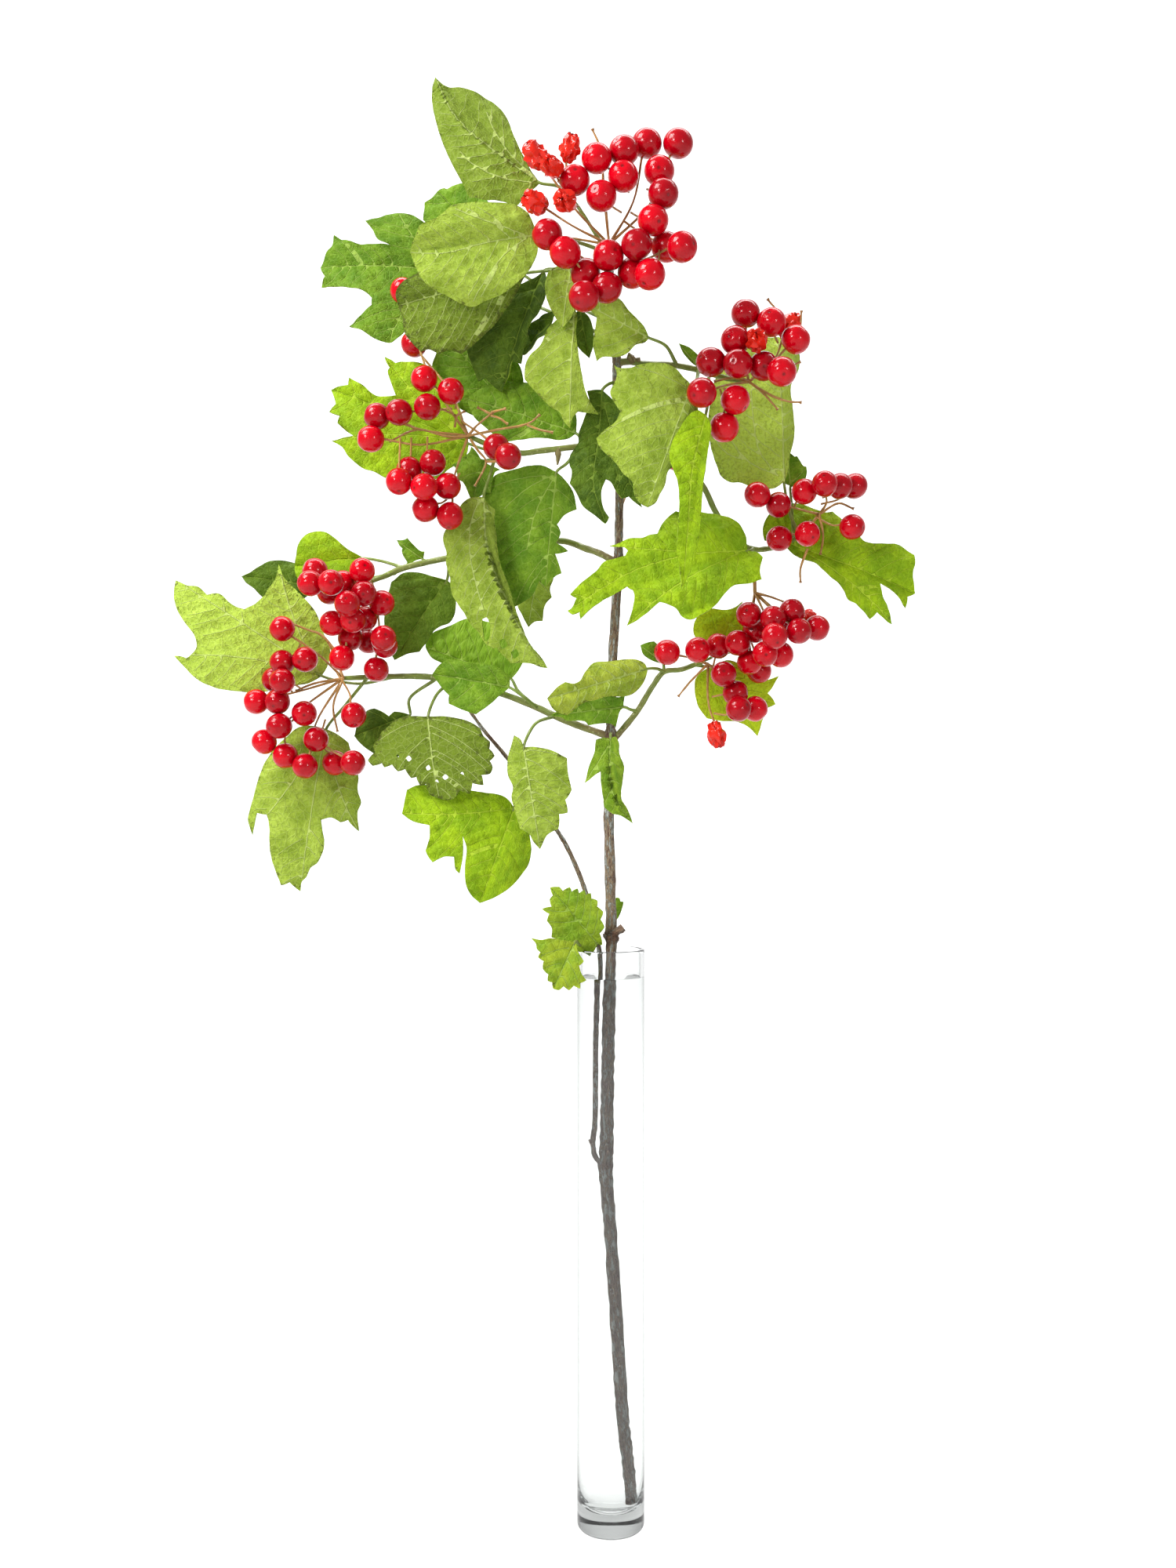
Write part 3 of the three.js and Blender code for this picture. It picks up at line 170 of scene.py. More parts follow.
class Notebook:
    def __init__(self):
        self.points = []
        self.faces = []
        self.finishes = []
        self.values = {name: [] for name in VALUES}
        self.places = []

    def add(self, points, faces, finish=0, places=None, **values):
        """A finish or a value is one for all, or one for each."""
        first = len(self.points)
        self.points.extend(points)
        self.faces.extend(tuple(corner + first for corner in face) for face in faces)
        self.finishes.extend(np.broadcast_to(finish, len(faces)))
        for name in VALUES:
            value = values.get(name, 0.0)
            self.values[name].extend(np.broadcast_to(value, len(points)))
        self.places.extend(points if places is None else places)

    def add_tube(self, line, radii, finish=0, tint=(0, 0), **shape):
        """A tube whose tint runs from one value at its start to another at its end."""
        points, faces, places = tube(line, radii, **shape)
        self.add(points, faces, finish, places, tint=np.linspace(*tint, len(points)))

    def make(self, name, nodes, slot, materials):
        global triangle_total
        mesh = bpy.data.meshes.new(name)
        mesh.from_pydata([tuple(point) for point in np.array(self.points) * MM], [], self.faces)
        for material in materials:
            mesh.materials.append(material)
        mesh.polygons.foreach_set("material_index", np.array(self.finishes, dtype=np.int32))
        mesh.polygons.foreach_set("use_smooth", [True] * len(self.faces))
        for value in VALUES:
            layer = mesh.attributes.new(value, "FLOAT", "POINT")
            layer.data.foreach_set("value", np.array(self.values[value], dtype=np.float32))
        layer = mesh.attributes.new("place", "FLOAT_VECTOR", "POINT")
        layer.data.foreach_set("vector", np.array(self.places, dtype=np.float32).ravel())
        mesh.set_sharp_from_angle(angle=SHARP_ANGLE)
        piece = bpy.data.objects.new(name, mesh)
        bpy.context.scene.collection.objects.link(piece)
        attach(piece, "root")
        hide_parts(*nodes)
        triangle_total += sum(len(face) - 2 for face in self.faces)
        return piece


# %% [markdown]
# ## Building materials from nodes
# A material is a graph of small nodes. One helper adds a node with its settings and inputs,
# and the others are short words made from it. Effects that several finishes share are node
# groups with named sockets. Colours are 0 to 255, as on a screen, judged beside the photograph.

# %% Node helpers
def add_node(tree, kind, inputs=(), **settings):
    node = tree.nodes.new(kind)
    for key, value in settings.items():
        setattr(node, key, value)
    for socket, value in dict(inputs).items():
        if isinstance(value, bpy.types.NodeSocket):
            tree.links.new(value, node.inputs[socket])
        else:
            node.inputs[socket].default_value = value
    return node


def maths(tree, kind, one, other):
    return add_node(tree, "ShaderNodeMath", {0: one, 1: other}, operation=kind).outputs[0]


def times(tree, one, other):
    return maths(tree, "MULTIPLY", one, other)


def plus(tree, one, other):
    return maths(tree, "ADD", one, other)


def vector_maths(tree, kind, one, other):
    return add_node(tree, "ShaderNodeVectorMath", {0: one, 1: other}, operation=kind).outputs[0]


def ramp(tree, value, low, high):
    """0 where the value is at low, 1 where it is at high, and smooth between."""
    inputs = {"Value": value, "From Min": low, "From Max": high}
    return add_node(tree, "ShaderNodeMapRange", inputs, interpolation_type="SMOOTHSTEP").outputs[0]


def blend_colours(tree, share, one, other, way="MIX"):
    inputs = {0: share, 6: one, 7: other}
    return add_node(tree, "ShaderNodeMix", inputs, data_type="RGBA", blend_type=way).outputs[2]


def lay_over(tree, colour, over, mask, strength=1.0):
    """A colour with another laid over it where the mask is."""
    share = mask if strength == 1.0 else times(tree, mask, strength)
    return blend_colours(tree, share, colour, over)


def clouds(tree, place, scale, **inputs):
    return add_node(tree, "ShaderNodeTexNoise", {"Vector": place, "Scale": scale, **inputs}).outputs["Fac"]


def carried(tree, name):
    return add_node(tree, "ShaderNodeAttribute", attribute_name=name).outputs["Fac"]


def carried_place(tree):
    return add_node(tree, "ShaderNodeAttribute", attribute_name="place").outputs["Vector"]


def new_group(name, inputs, outputs):
    group = bpy.data.node_groups.new(name, "ShaderNodeTree")
    for socket, kind in inputs.items():
        group.interface.new_socket(socket, in_out="INPUT", socket_type="NodeSocket" + kind)
    for socket, kind in outputs.items():
        group.interface.new_socket(socket, in_out="OUTPUT", socket_type="NodeSocket" + kind)
    entry = add_node(group, "NodeGroupInput").outputs
    leave = add_node(group, "NodeGroupOutput").inputs
    return group, entry, leave


def use_group(tree, group, inputs):
    return add_node(tree, "ShaderNodeGroup", inputs, node_tree=group).outputs


def paint(red, green, blue):
    """A colour as it looks on a screen, in the linear numbers that a shader needs."""
    shares = [value / 255 for value in (red, green, blue)]
    linear = [share / 12.92 if share < 0.04 else ((share + 0.055) / 1.055) ** 2.4 for share in shares]
    return (*linear, 1)


def new_material(name, **constants):
    """A material, its tree and the inputs of its shader, with the plain ones set."""
    material = bpy.data.materials.new(name)
    material.use_nodes = True
    shader = material.node_tree.nodes["Principled BSDF"].inputs
    for socket, value in constants.items():
        shader[socket.replace("_", " ")].default_value = value
    return material, material.node_tree, shader


def shine(tree, shader, height, depth_mm):
    """Feeds a bump of the given depth to a shader's normal."""
    inputs = {"Height": height, "Distance": depth_mm * MM, "Strength": 1.0}
    tree.links.new(add_node(tree, "ShaderNodeBump", inputs).outputs[0], shader["Normal"])


# %% [markdown]
# ## Mottle
# No leaf, berry or twig has one even colour. This group lays a slow cloud and a fine grain
# over the surface, from the places in millimetres that each point carries. Stretch makes the
# grain run along a stem.

# %% Mottle group
MOTTLE_DETAIL = {"Cloud": 3.0, "Grain": 5.0}
MOTTLE_RANGE = (0.3, 0.7)

mottle, given, result = new_group(
    "mottle",
    {"Place": "Vector", "Cloud size": "Float", "Grain size": "Float", "Stretch": "Float"},
    {"Cloud": "Float", "Grain": "Float"},
)
squeezed = add_node(mottle, "ShaderNodeCombineXYZ", {0: 1.0, 1: 1.0, 2: given["Stretch"]}).outputs[0]
place = vector_maths(mottle, "MULTIPLY", given["Place"], squeezed)
for out, detail in MOTTLE_DETAIL.items():
    scale = maths(mottle, "DIVIDE", 1.0, given[out + " size"])
    noise = clouds(mottle, place, scale, Detail=detail)
    mottle.links.new(ramp(mottle, noise, *MOTTLE_RANGE), result[out])


def mottled(tree, place, cloud_mm, grain_mm, stretch=1.0):
    sizes = {"Cloud size": cloud_mm, "Grain size": grain_mm, "Stretch": stretch}
    return use_group(tree, mottle, {"Place": place, **sizes})


print("mottle group, nodes:", len(mottle.nodes))

# %% [markdown]
# ## Leaf veins
# Under a lens a leaf is a net: strong ribs, side veins that run out to the teeth, and a fine
# mesh of small cells between. Ribs and side veins are real edges of the blade's mesh, and each
# point knows how far the nearest one is. The net is a cell pattern whose borders are the small
# veins. The group gives three masks, for colour and relief.

# %% Leaf vein group
RIB_RAMP = (1.0, 0.3)
PANEL_RAMP = (0.2, 3.0)
NET_BEND = 0.7
NET_CELLS = ((0.34, 0.13), (0.95, 0.16))
FINE_NET_SHARE = 0.5

veins, given, result = new_group(
    "leaf veins",
    {"Distance": "Float", "Place": "Vector", "Vein width": "Float"},
    {"Rib": "Float", "Net": "Float", "Panel": "Float"},
)
widths_away = maths(veins, "DIVIDE", given["Distance"], given["Vein width"])
bend = add_node(veins, "ShaderNodeTexNoise", {"Vector": given["Place"], "Scale": NET_BEND}).outputs["Color"]
bent = vector_maths(veins, "ADD", bend, given["Place"])
cells = []
for scale, border in NET_CELLS:
    cell = add_node(
        veins, "ShaderNodeTexVoronoi", {"Vector": bent, "Scale": scale},
        feature="DISTANCE_TO_EDGE", voronoi_dimensions="2D",
    )
    cells.append(ramp(veins, cell.outputs["Distance"], border, 0.0))
net = maths(veins, "MAXIMUM", cells[0], times(veins, cells[1], FINE_NET_SHARE))
veins.links.new(ramp(veins, widths_away, *RIB_RAMP), result["Rib"])
veins.links.new(net, result["Net"])
# Panel: the places between the veins, where the leaf colour paints shade in the hollows
veins.links.new(ramp(veins, given["Distance"], *PANEL_RAMP), result["Panel"])
print("leaf vein group, nodes:", len(veins.nodes))

# %% [markdown]
# ## The colour of a leaf
# It is built up in layers, as a painter would: two cloudy greens, painted shade that deepens
# some blades and painted light that pales others, painted shade in the hollows between the
# veins, yellow where the leaf turns, the net and the ribs, brown specks and fine dark flecks.
# All follow each blade's own veins and edge, which a picture of a leaf could not.

# %% Leaf colour
SHADE_TONE = (0.6, 0.62, 0.45, 1)
SUNLIT = 1.3
TURNING_YELLOW = paint(205, 195, 45)
SPECK_BROWN = paint(72, 78, 24)
HOLLOW_SHADE_SHARE, NET_SHARE, RIB_SHARE, SPECK_SHARE, FLECK_SHARE = 0.38, 0.18, 0.65, 0.75, 0.4
SPECK_RAMP = (0.66, 0.72)


def leaf_colour(tree, place, masks, cloud, grain, light, deep, vein, specks):
    # dark: the deep green darkened by SHADE_TONE, used for painted shade and for the leaf's own dark flecks
    dark = blend_colours(tree, 1.0, deep, SHADE_TONE, way="MULTIPLY")
    pale = tuple(min(SUNLIT * value, 1) for value in light)
    shade = carried(tree, "shade")
    colour = blend_colours(tree, cloud, deep, light)
    # painted shade: a per-leaf "shade" above zero darkens the whole blade; below zero it is painted light
    # that pales it towards SUNLIT
    colour = lay_over(tree, colour, dark, shade)
    colour = lay_over(tree, colour, pale, shade, -1.0)
    # painted shade in the hollows between the veins, broken up by the grain
    painted_hollow_shade = times(tree, masks["Panel"], ramp(tree, grain, 0.35, 0.95))
    colour = lay_over(tree, colour, dark, painted_hollow_shade, HOLLOW_SHADE_SHARE)
    turning = times(tree, carried(tree, "tint"), ramp(tree, cloud, -0.4, 0.9))
    colour = lay_over(tree, colour, TURNING_YELLOW, turning)
    colour = lay_over(tree, colour, vein, masks["Net"], NET_SHARE)
    colour = lay_over(tree, colour, vein, masks["Rib"], RIB_SHARE)
    dry = clouds(tree, place, 0.45, Detail=9.0, Roughness=0.78)
    edge = times(tree, ramp(tree, carried(tree, "rim"), 2.5, 0.0), 0.1)
    marked = plus(tree, plus(tree, dry, edge), carried(tree, "spot"))
    speck = ramp(tree, marked, SPECK_RAMP[0] - specks, SPECK_RAMP[1] - specks)
    colour = lay_over(tree, colour, SPECK_BROWN, speck, SPECK_SHARE)
    fleck = ramp(tree, clouds(tree, place, 1.1, Detail=8.0, Roughness=0.8), 0.54, 0.66)
    return lay_over(tree, colour, dark, fleck, FLECK_SHARE)


# %% [markdown]
# ## Leaf finishes
# The upper side is a fuller green with sunken veins and a slight gloss; the underside is pale
# and matt, and its veins stand out. Light also comes through a blade, so a share of the shader
# is translucent. One function makes every finish.

# %% Leaf finishes
VEIN_WIDTH = 0.5
LEAF_CLOUD = 9.0
LEAF_GRAIN = 1.3
THROUGH_LIGHT = 0.22
LEAF_SPECULAR = 0.25
NET_RELIEF = 0.45
GRAIN_RELIEF = 0.35
LEAF_RELIEF = 0.45


def leaf_finish(name, light, deep, vein, gloss, raised, specks):
    material, tree, shader = new_material(name, Specular_IOR_Level=LEAF_SPECULAR)
    place = carried_place(tree)
    inputs = {"Distance": carried(tree, "vein"), "Place": place, "Vein width": VEIN_WIDTH}
    masks = use_group(tree, veins, inputs)
    cloud, grain = mottled(tree, place, LEAF_CLOUD, LEAF_GRAIN)
    colour = leaf_colour(tree, place, masks, cloud, grain, light, deep, vein, specks)
    tree.links.new(colour, shader["Base Color"])
    matt = maths(tree, "SUBTRACT", 1.0, times(tree, gloss, ramp(tree, grain, 1.6, -0.4)))
    tree.links.new(matt, shader["Roughness"])
    height = plus(tree, times(tree, masks["Rib"], raised), times(tree, masks["Net"], raised * NET_RELIEF))
    shine(tree, shader, plus(tree, height, times(tree, grain, GRAIN_RELIEF)), LEAF_RELIEF)
    through = add_node(tree, "ShaderNodeBsdfTranslucent", {"Color": colour}).outputs[0]
    surface = tree.nodes["Principled BSDF"].outputs[0]
    both = add_node(tree, "ShaderNodeMixShader", {0: THROUGH_LIGHT, 1: surface, 2: through})
    tree.links.new(both.outputs[0], tree.nodes["Material Output"].inputs["Surface"])
    return material


leaf_looks = {
    "under": leaf_finish(
        "leaf underside", light=paint(174, 198, 72), deep=paint(134, 160, 38), vein=paint(208, 225, 132),
        gloss=0.35, raised=1.0, specks=0.045),
    "bright": leaf_finish(
        "leaf bright", light=paint(166, 200, 12), deep=paint(128, 168, 2), vein=paint(190, 216, 60),
        gloss=0.5, raised=-0.8, specks=0.0),
    "green": leaf_finish(
        "leaf green", light=paint(130, 168, 34), deep=paint(92, 136, 12), vein=paint(172, 200, 92),
        gloss=0.5, raised=-0.8, specks=0.01),
    "dark": leaf_finish(
        "leaf dark", light=paint(92, 120, 18), deep=paint(60, 88, 5), vein=paint(132, 158, 55),
        gloss=0.5, raised=-0.8, specks=0.02),
}
print("leaf finishes:", ", ".join(leaf_looks))

# %% [markdown]
# ## Bark and green skin
# The main stem is grey-brown bark with lengthwise streaks, small pale pores, peeling patches
# and dark hollows. Young twigs and stalks have a green skin that browns with age, and the rays
# of the bunches are light brown. One function makes all three.

# %% Bark and skin finishes
SKIN_CLOUD = 6.0
SKIN_GRAIN = 0.5
DARK_GRAIN = (0.02, 0.015, 0.01, 1)
PEEL_STRETCH = (1.5, 1.5, 0.3)
HOLLOW_BROWN = paint(84, 56, 46)
JOINT_BROWN = paint(96, 58, 44)


def skin_finish(name, young, old, pores, streak, rough, relief, patches=0.0):
    material, tree, shader = new_material(name)
    place = carried_place(tree)
    cloud, grain = mottled(tree, place, SKIN_CLOUD, SKIN_GRAIN, streak)
    uneven = times(tree, maths(tree, "SUBTRACT", cloud, 0.5), 0.5)
    age = ramp(tree, plus(tree, carried(tree, "tint"), uneven), 0.0, 1.0)
    colour = blend_colours(tree, age, young, old)
    dark = blend_colours(tree, 0.65, colour, DARK_GRAIN)
    colour = lay_over(tree, colour, dark, grain, 0.55)
    spots = add_node(tree, "ShaderNodeTexVoronoi", {"Vector": place, "Scale": 0.5}).outputs["Distance"]
    pore = ramp(tree, spots, 0.28, 0.12)
    colour = lay_over(tree, colour, pores, pore, 0.6)
    drawn = vector_maths(tree, "MULTIPLY", place, PEEL_STRETCH)
    peeled = clouds(tree, drawn, 0.6, Detail=6.0, Roughness=0.72)
    patch = ramp(tree, peeled, 0.52, 0.58)
    colour = lay_over(tree, colour, pores, patch, patches)
    colour = lay_over(tree, colour, HOLLOW_BROWN, ramp(tree, peeled, 0.48, 0.42), patches)
    colour = lay_over(tree, colour, JOINT_BROWN, carried(tree, "spot"), 0.6)
    tree.links.new(colour, shader["Base Color"])
    tree.links.new(ramp(tree, grain, -rough, 2 - rough), shader["Roughness"])
    lumps = plus(tree, plus(tree, grain, times(tree, patch, 2 * patches)), times(tree, pore, 0.8))
    shine(tree, shader, lumps, relief)
    return material


bark = skin_finish(
    "bark", young=paint(158, 138, 108), old=paint(120, 100, 76), pores=paint(172, 178, 172),
    streak=0.25, rough=0.9, relief=0.45, patches=0.85)
green_skin = skin_finish(
    "green skin", young=(0.19, 0.28, 0.03, 1), old=(0.2, 0.14, 0.05, 1), pores=(0.33, 0.35, 0.12, 1),
    streak=0.15, rough=0.5, relief=0.1)
ray_skin = skin_finish(
    "ray skin", young=paint(186, 140, 72), old=paint(140, 92, 50), pores=paint(206, 166, 110),
    streak=0.2, rough=0.5, relief=0.08)
print("skins:", bark.name, green_skin.name, ray_skin.name)

# %% [markdown]
# ## Berry skin
# A berry has a thin, wet looking skin: deep red, with a small dark scar where the flower was.
# A clear coat over a nearly matt red keeps its highlights small and the red full.

# %% Berry skin
UNRIPE_RED = paint(198, 0, 22)
RIPE_RED = paint(150, 0, 16)
SHRIVELLED_RED = paint(222, 44, 26)
SCAR_BROWN = paint(120, 12, 18)
BERRY_CONSTANTS = {
    "Specular_IOR_Level": 0.1, "Coat_Weight": 0.4, "Coat_Roughness": 0.08,
    "Subsurface_Weight": 0.02, "Subsurface_Radius": (1.0, 0.15, 0.1), "Subsurface_Scale": 2 * MM,
}

berry, tree, shader = new_material("berry skin", **BERRY_CONSTANTS)
cloud, grain = mottled(tree, carried_place(tree), 4.0, 0.7)
ripe = ramp(tree, plus(tree, carried(tree, "tint"), times(tree, cloud, 0.35)), 0.0, 1.2)
colour = blend_colours(tree, ripe, UNRIPE_RED, RIPE_RED)
# a berry's "shade" value is how shrivelled it is, a colour of its own
colour = lay_over(tree, colour, SHRIVELLED_RED, carried(tree, "shade"))
colour = lay_over(tree, colour, SCAR_BROWN, ramp(tree, carried(tree, "spot"), 0.35, 0.9))
tree.links.new(colour, shader["Base Color"])
tree.links.new(ramp(tree, grain, -0.5, 4.0), shader["Roughness"])
shine(tree, shader, grain, 0.04)
print("berry skin, nodes:", len(tree.nodes))

# %% [markdown]
# ## Glass and water
# Both are clear, so nearly all their look comes from how light bends at their surfaces. Each
# has a faint waviness, and its colour is painted grey where it is seen edge on, a painted shade
# that stands in for darker surroundings seen in the glass. The glass also swallows light
# inside, so the thick foot is greyer than the thin wall.

# %% Clear finishes
INSIDE_TINT = (0.05, 0.08, 0.07, 1)
GRAZING_SHADE_RAMP = (0.55, 0.85)


def clear_finish(name, colour, edge, bending, wave_mm, wave_depth, darkening=0):
    material, tree, shader = new_material(name, Transmission_Weight=1.0, Roughness=0.0, IOR=bending)
    facing = add_node(tree, "ShaderNodeLayerWeight", {"Blend": 0.5}).outputs["Facing"]
    # painted shade: grey laid over the clear colour where the surface is seen edge on
    colour = blend_colours(tree, ramp(tree, facing, *GRAZING_SHADE_RAMP), colour, edge)
    tree.links.new(colour, shader["Base Color"])
    shine(tree, shader, clouds(tree, carried_place(tree), 1 / wave_mm), wave_depth)
    if darkening:
        inside = add_node(tree, "ShaderNodeVolumeAbsorption", {"Color": INSIDE_TINT, "Density": darkening})
        tree.links.new(inside.outputs[0], tree.nodes["Material Output"].inputs["Volume"])
    return material


# edge is the painted grey shade that each finish takes on where it is seen edge on
glass = clear_finish(
    "glass", colour=(0.98, 0.99, 0.985, 1), edge=(0.3, 0.32, 0.32, 1), bending=1.5,
    wave_mm=30, wave_depth=0.01, darkening=36)
water = clear_finish(
    "water", colour=(0.99, 1.0, 0.995, 1), edge=(0.9, 0.92, 0.92, 1), bending=1.333,
    wave_mm=20, wave_depth=0.004)
print("clear finishes:", glass.name, water.name)

# %% [markdown]
# ## The vase and its water
# The vase is a drawn glass tube with a thick floor, so its outline is turned around the axis,
# with many sides, as glass shows every facet. Foot and floor are rounded to catch the light.
# Walls are cut into short lengths: a long face would smear the shading of its ends. The water
# reaches a hair into the glass, as a film of air between the two would shine like a mirror,
# and climbs a little at the wall.

# %% Turning an outline
VASE_HEIGHT = 238
VASE_RADIUS = 13.9
VASE_WALL = 1.6
VASE_INNER = VASE_RADIUS - VASE_WALL
VASE_FLOOR = 8
CAVITY_CURVE = [(0, 22), (0.5, 11), (1.7, 5), (4.6, 1.4)]
CAVITY_STEPS = 6
ROUND_SIDES = 96
WALL_LENGTHS = 12


def turned(profile):
    """A surface turned around the axis; the profile starts and ends on it."""
    points = [(0, 0, profile[0][1])]
    for radius, height in profile[1:-1]:
        for side in range(ROUND_SIDES):
            turn = 2 * math.pi * side / ROUND_SIDES
            points.append((radius * math.cos(turn), radius * math.sin(turn), height))
    points.append((0, 0, profile[-1][1]))
    last, end = 1 + (len(profile) - 3) * ROUND_SIDES, len(points) - 1
    start_cap = [(0, 1 + (side + 1) % ROUND_SIDES, 1 + side) for side in range(ROUND_SIDES)]
    end_cap = [(last + side, last + (side + 1) % ROUND_SIDES, end) for side in range(ROUND_SIDES)]
    return points, start_cap + ring_faces(len(profile) - 3, ROUND_SIDES, 1) + end_cap


def arc(centre, radius, start, stop, steps):
    turns = [math.radians(start + (stop - start) * step / steps) for step in range(steps + 1)]
    return [(centre[0] + radius * math.cos(turn), centre[1] + radius * math.sin(turn)) for turn in turns]


def wall(radius, low, high):
    return [(radius, low + (high - low) * step / WALL_LENGTHS) for step in range(WALL_LENGTHS + 1)]


def cavity(gap):
    curve = [(VASE_INNER - gap - inset, VASE_FLOOR + height + gap) for inset, height in CAVITY_CURVE]
    smooth = smooth_line([*curve, (0.01, VASE_FLOOR + gap)], CAVITY_STEPS)
    return [tuple(place) for place in smooth[:-1]]


FOOT_ROUND = 2.4
FOOT_HOLLOW = [(0, 0.5), (VASE_RADIUS - FOOT_ROUND - 3, 0.3)]
FOOT_STEPS = 8
RIM_ROUND = 0.6
RIM_STEPS = 5
RIM_CENTRE = VASE_HEIGHT - RIM_ROUND
WALL_START = VASE_FLOOR + CAVITY_CURVE[0][1] + 1
WATER_LEVEL = 226.4
WATER_OVERLAP = 0.15
MENISCUS = [(-WATER_OVERLAP, 0.4), (0.6, 0.12), (2, 0)]

outline = [
    *FOOT_HOLLOW,
    *arc((VASE_RADIUS - FOOT_ROUND, FOOT_ROUND), FOOT_ROUND, -90, 0, FOOT_STEPS),
    *wall(VASE_RADIUS, FOOT_ROUND + 1, RIM_CENTRE - 1),
    *arc((VASE_RADIUS - RIM_ROUND, RIM_CENTRE), RIM_ROUND, 0, 90, RIM_STEPS),
    *arc((VASE_INNER + RIM_ROUND, RIM_CENTRE), RIM_ROUND, 90, 180, RIM_STEPS),
    *reversed(wall(VASE_INNER, WALL_START, RIM_CENTRE - 1)),
    *cavity(0),
    (0, VASE_FLOOR),
]
book = Notebook()
book.add(*turned(outline))
book.make("vase_glass", ["vase"], "glass", [glass])

filling = [
    (0, VASE_FLOOR - WATER_OVERLAP),
    *reversed(cavity(-WATER_OVERLAP)),
    *wall(VASE_INNER + WATER_OVERLAP, WALL_START, WATER_LEVEL + 0.2),
    *[(VASE_INNER - inset, WATER_LEVEL + rise) for inset, rise in MENISCUS],
    (0, WATER_LEVEL),
]
book = Notebook()
book.add(*turned(filling))
book.make("vase_water", ["water"], "water", [water])
print("vase and water, triangles:", triangle_total)

# %% [markdown]
# ## The main stem
# The stem swells at its joints, where pairs of leaves grew in earlier years. A thin side shoot
# leaves it under water and climbs beside it. Both follow the lines of the CAD source; the
# radii, the fourth numbers, are set against the photograph. Broken twigs left three stubs.

# %% Stem
STEM_LINE = [
    (799, 1915, 0, 1.85), (795, 1860, 0, 1.9), (790.5, 1810, 0, 1.9), (785.8, 1710, 0, 1.95),
    (778.2, 1560, 0, 2), (774.5, 1496, 0, 2.05), (774, 1484, 0, 2.5), (774.6, 1472, 0, 2.2),
    (776, 1380, 0, 2), (777.5, 1280, 0, 2), (780, 1204, 0, 2.3), (780.5, 1198, 0, 3),
    (780, 1193.5, 0, 2.5), (780, 1189, 0, 3.2), (779.5, 1184, 0, 2.6), (779.5, 1174, 0, 2.25),
    (776.5, 1030, 1, 2.15), (777.5, 956, 2, 2), (779, 940, 2, 2.6),
    (779, 924, 2, 2), (782, 832, 1, 1.95), (788.5, 728, -1, 1.85), (789, 714, -1, 2.3),
    (789, 700, -2, 1.8), (790, 610, -4, 1.7), (787, 530, -8, 1.6), (786, 476, -12, 1.55),
    (787, 462, -13, 2.1), (785, 448, -14, 1.5), (781, 380, -24, 1.4), (777, 318, -34, 1.25),
]
SHOOT_LINE = [
    (774, 1486, 0, 0.9), (764.5, 1474, -0.6, 0.9), (761.5, 1458, -1, 0.9), (763.5, 1430, -1, 0.9),
    (764.2, 1330, -1, 0.9), (765.5, 1262, -1, 0.95), (765, 1217, 0, 1), (746, 1135, 4, 1),
    (723, 1080, 7, 0.95), (709, 1057, 9, 0.95), (676, 1008, 13, 0.9), (647, 967, 17, 0.85),
    (616, 930, 20, 0.8), (596, 902, 22, 0.75),
]
STEM_STUBS = [
    ([(782, 1190, -1), (791, 1186, -3), (795, 1183, -3)], 1.9),
    ([(779, 1192, 0), (770, 1194, -1)], 1.4),
    ([(763, 1464, -1), (758, 1452, -1.6)], 0.8),
]
JOINT_ROWS = (1189, 1197, 1484, 940, 714, 462)
JOINT_REACH = 1.6
STEM_AGE = ([0, 215, 250], [1.0, 0.8, 0.2])
STUB_TAPER = 0.75
joint_heights = [seen((0, row, 0))[2] for row in JOINT_ROWS]

book = Notebook()
for line, sides, seed in ((STEM_LINE, 14, 1), (SHOOT_LINE, 10, 2)):
    spots, radii = [seen(spot[:3]) for spot in line], [spot[3] for spot in line]
    points, faces, places = tube(spots, radii, sides, steps=12, wobble=0.07, seed=seed)
    height = points[:, 2]
    joint = sum(np.exp(-((height - level) / JOINT_REACH) ** 2) for level in joint_heights)
    book.add(points, faces, places=places, tint=np.interp(height, *STEM_AGE), spot=joint)
for line, radius in STEM_STUBS:
    stub = tube([seen(spot) for spot in line], [radius, radius * STUB_TAPER], 10, 4, wobble=0.12, seed=3)
    book.add(stub[0], stub[1], places=stub[2], tint=0.2, spot=0.8)
book.make("stem_bark", ["main_stem"], "bark", [bark])
print("stem, triangles so far:", triangle_total)

# %% [markdown]
# ## How a blade is made
# A guelder rose leaf has three lobes and coarse teeth. A flat grid would not follow the teeth,
# so the outline is drawn first, in the picture. Most outlines are written down tooth by tooth;
# some small leaves get their teeth from a rule. A sharp outward turn is the point of a tooth,
# where a side vein ends; finer veins end between the teeth.

# %% Helpers in the picture
BOWED_STEPS = 6


def flat(place):
    return np.array(place[:2], float)


def turned_by(before, after):
    return math.degrees(math.atan2(np.cross(before, after), np.dot(before, after)))


def dense(line, step):
    """The same line with places no farther apart than a step."""
    out = [line[0]]
    for start, end in zip(line[:-1], line[1:]):
        count = max(1, math.ceil(np.linalg.norm(end - start) / step))
        out += [start + (end - start) * (k + 1) / count for k in range(count)]
    return np.array(out)


def bowed(start, end, bulge, steps=BOWED_STEPS):
    middle = (start + end) / 2 + 2 * bulge
    shares = np.linspace(0, 1, steps + 1)[:, None]
    return (1 - shares) ** 2 * start + 2 * shares * (1 - shares) * middle + shares ** 2 * end


def outward(start, end, side):
    along = end - start
    return side * np.array([along[1], -along[0]])


def place_at(line, length):
    marks = lengths_along(line)
    return np.array([np.interp(length, marks, line[:, axis]) for axis in (0, 1)])


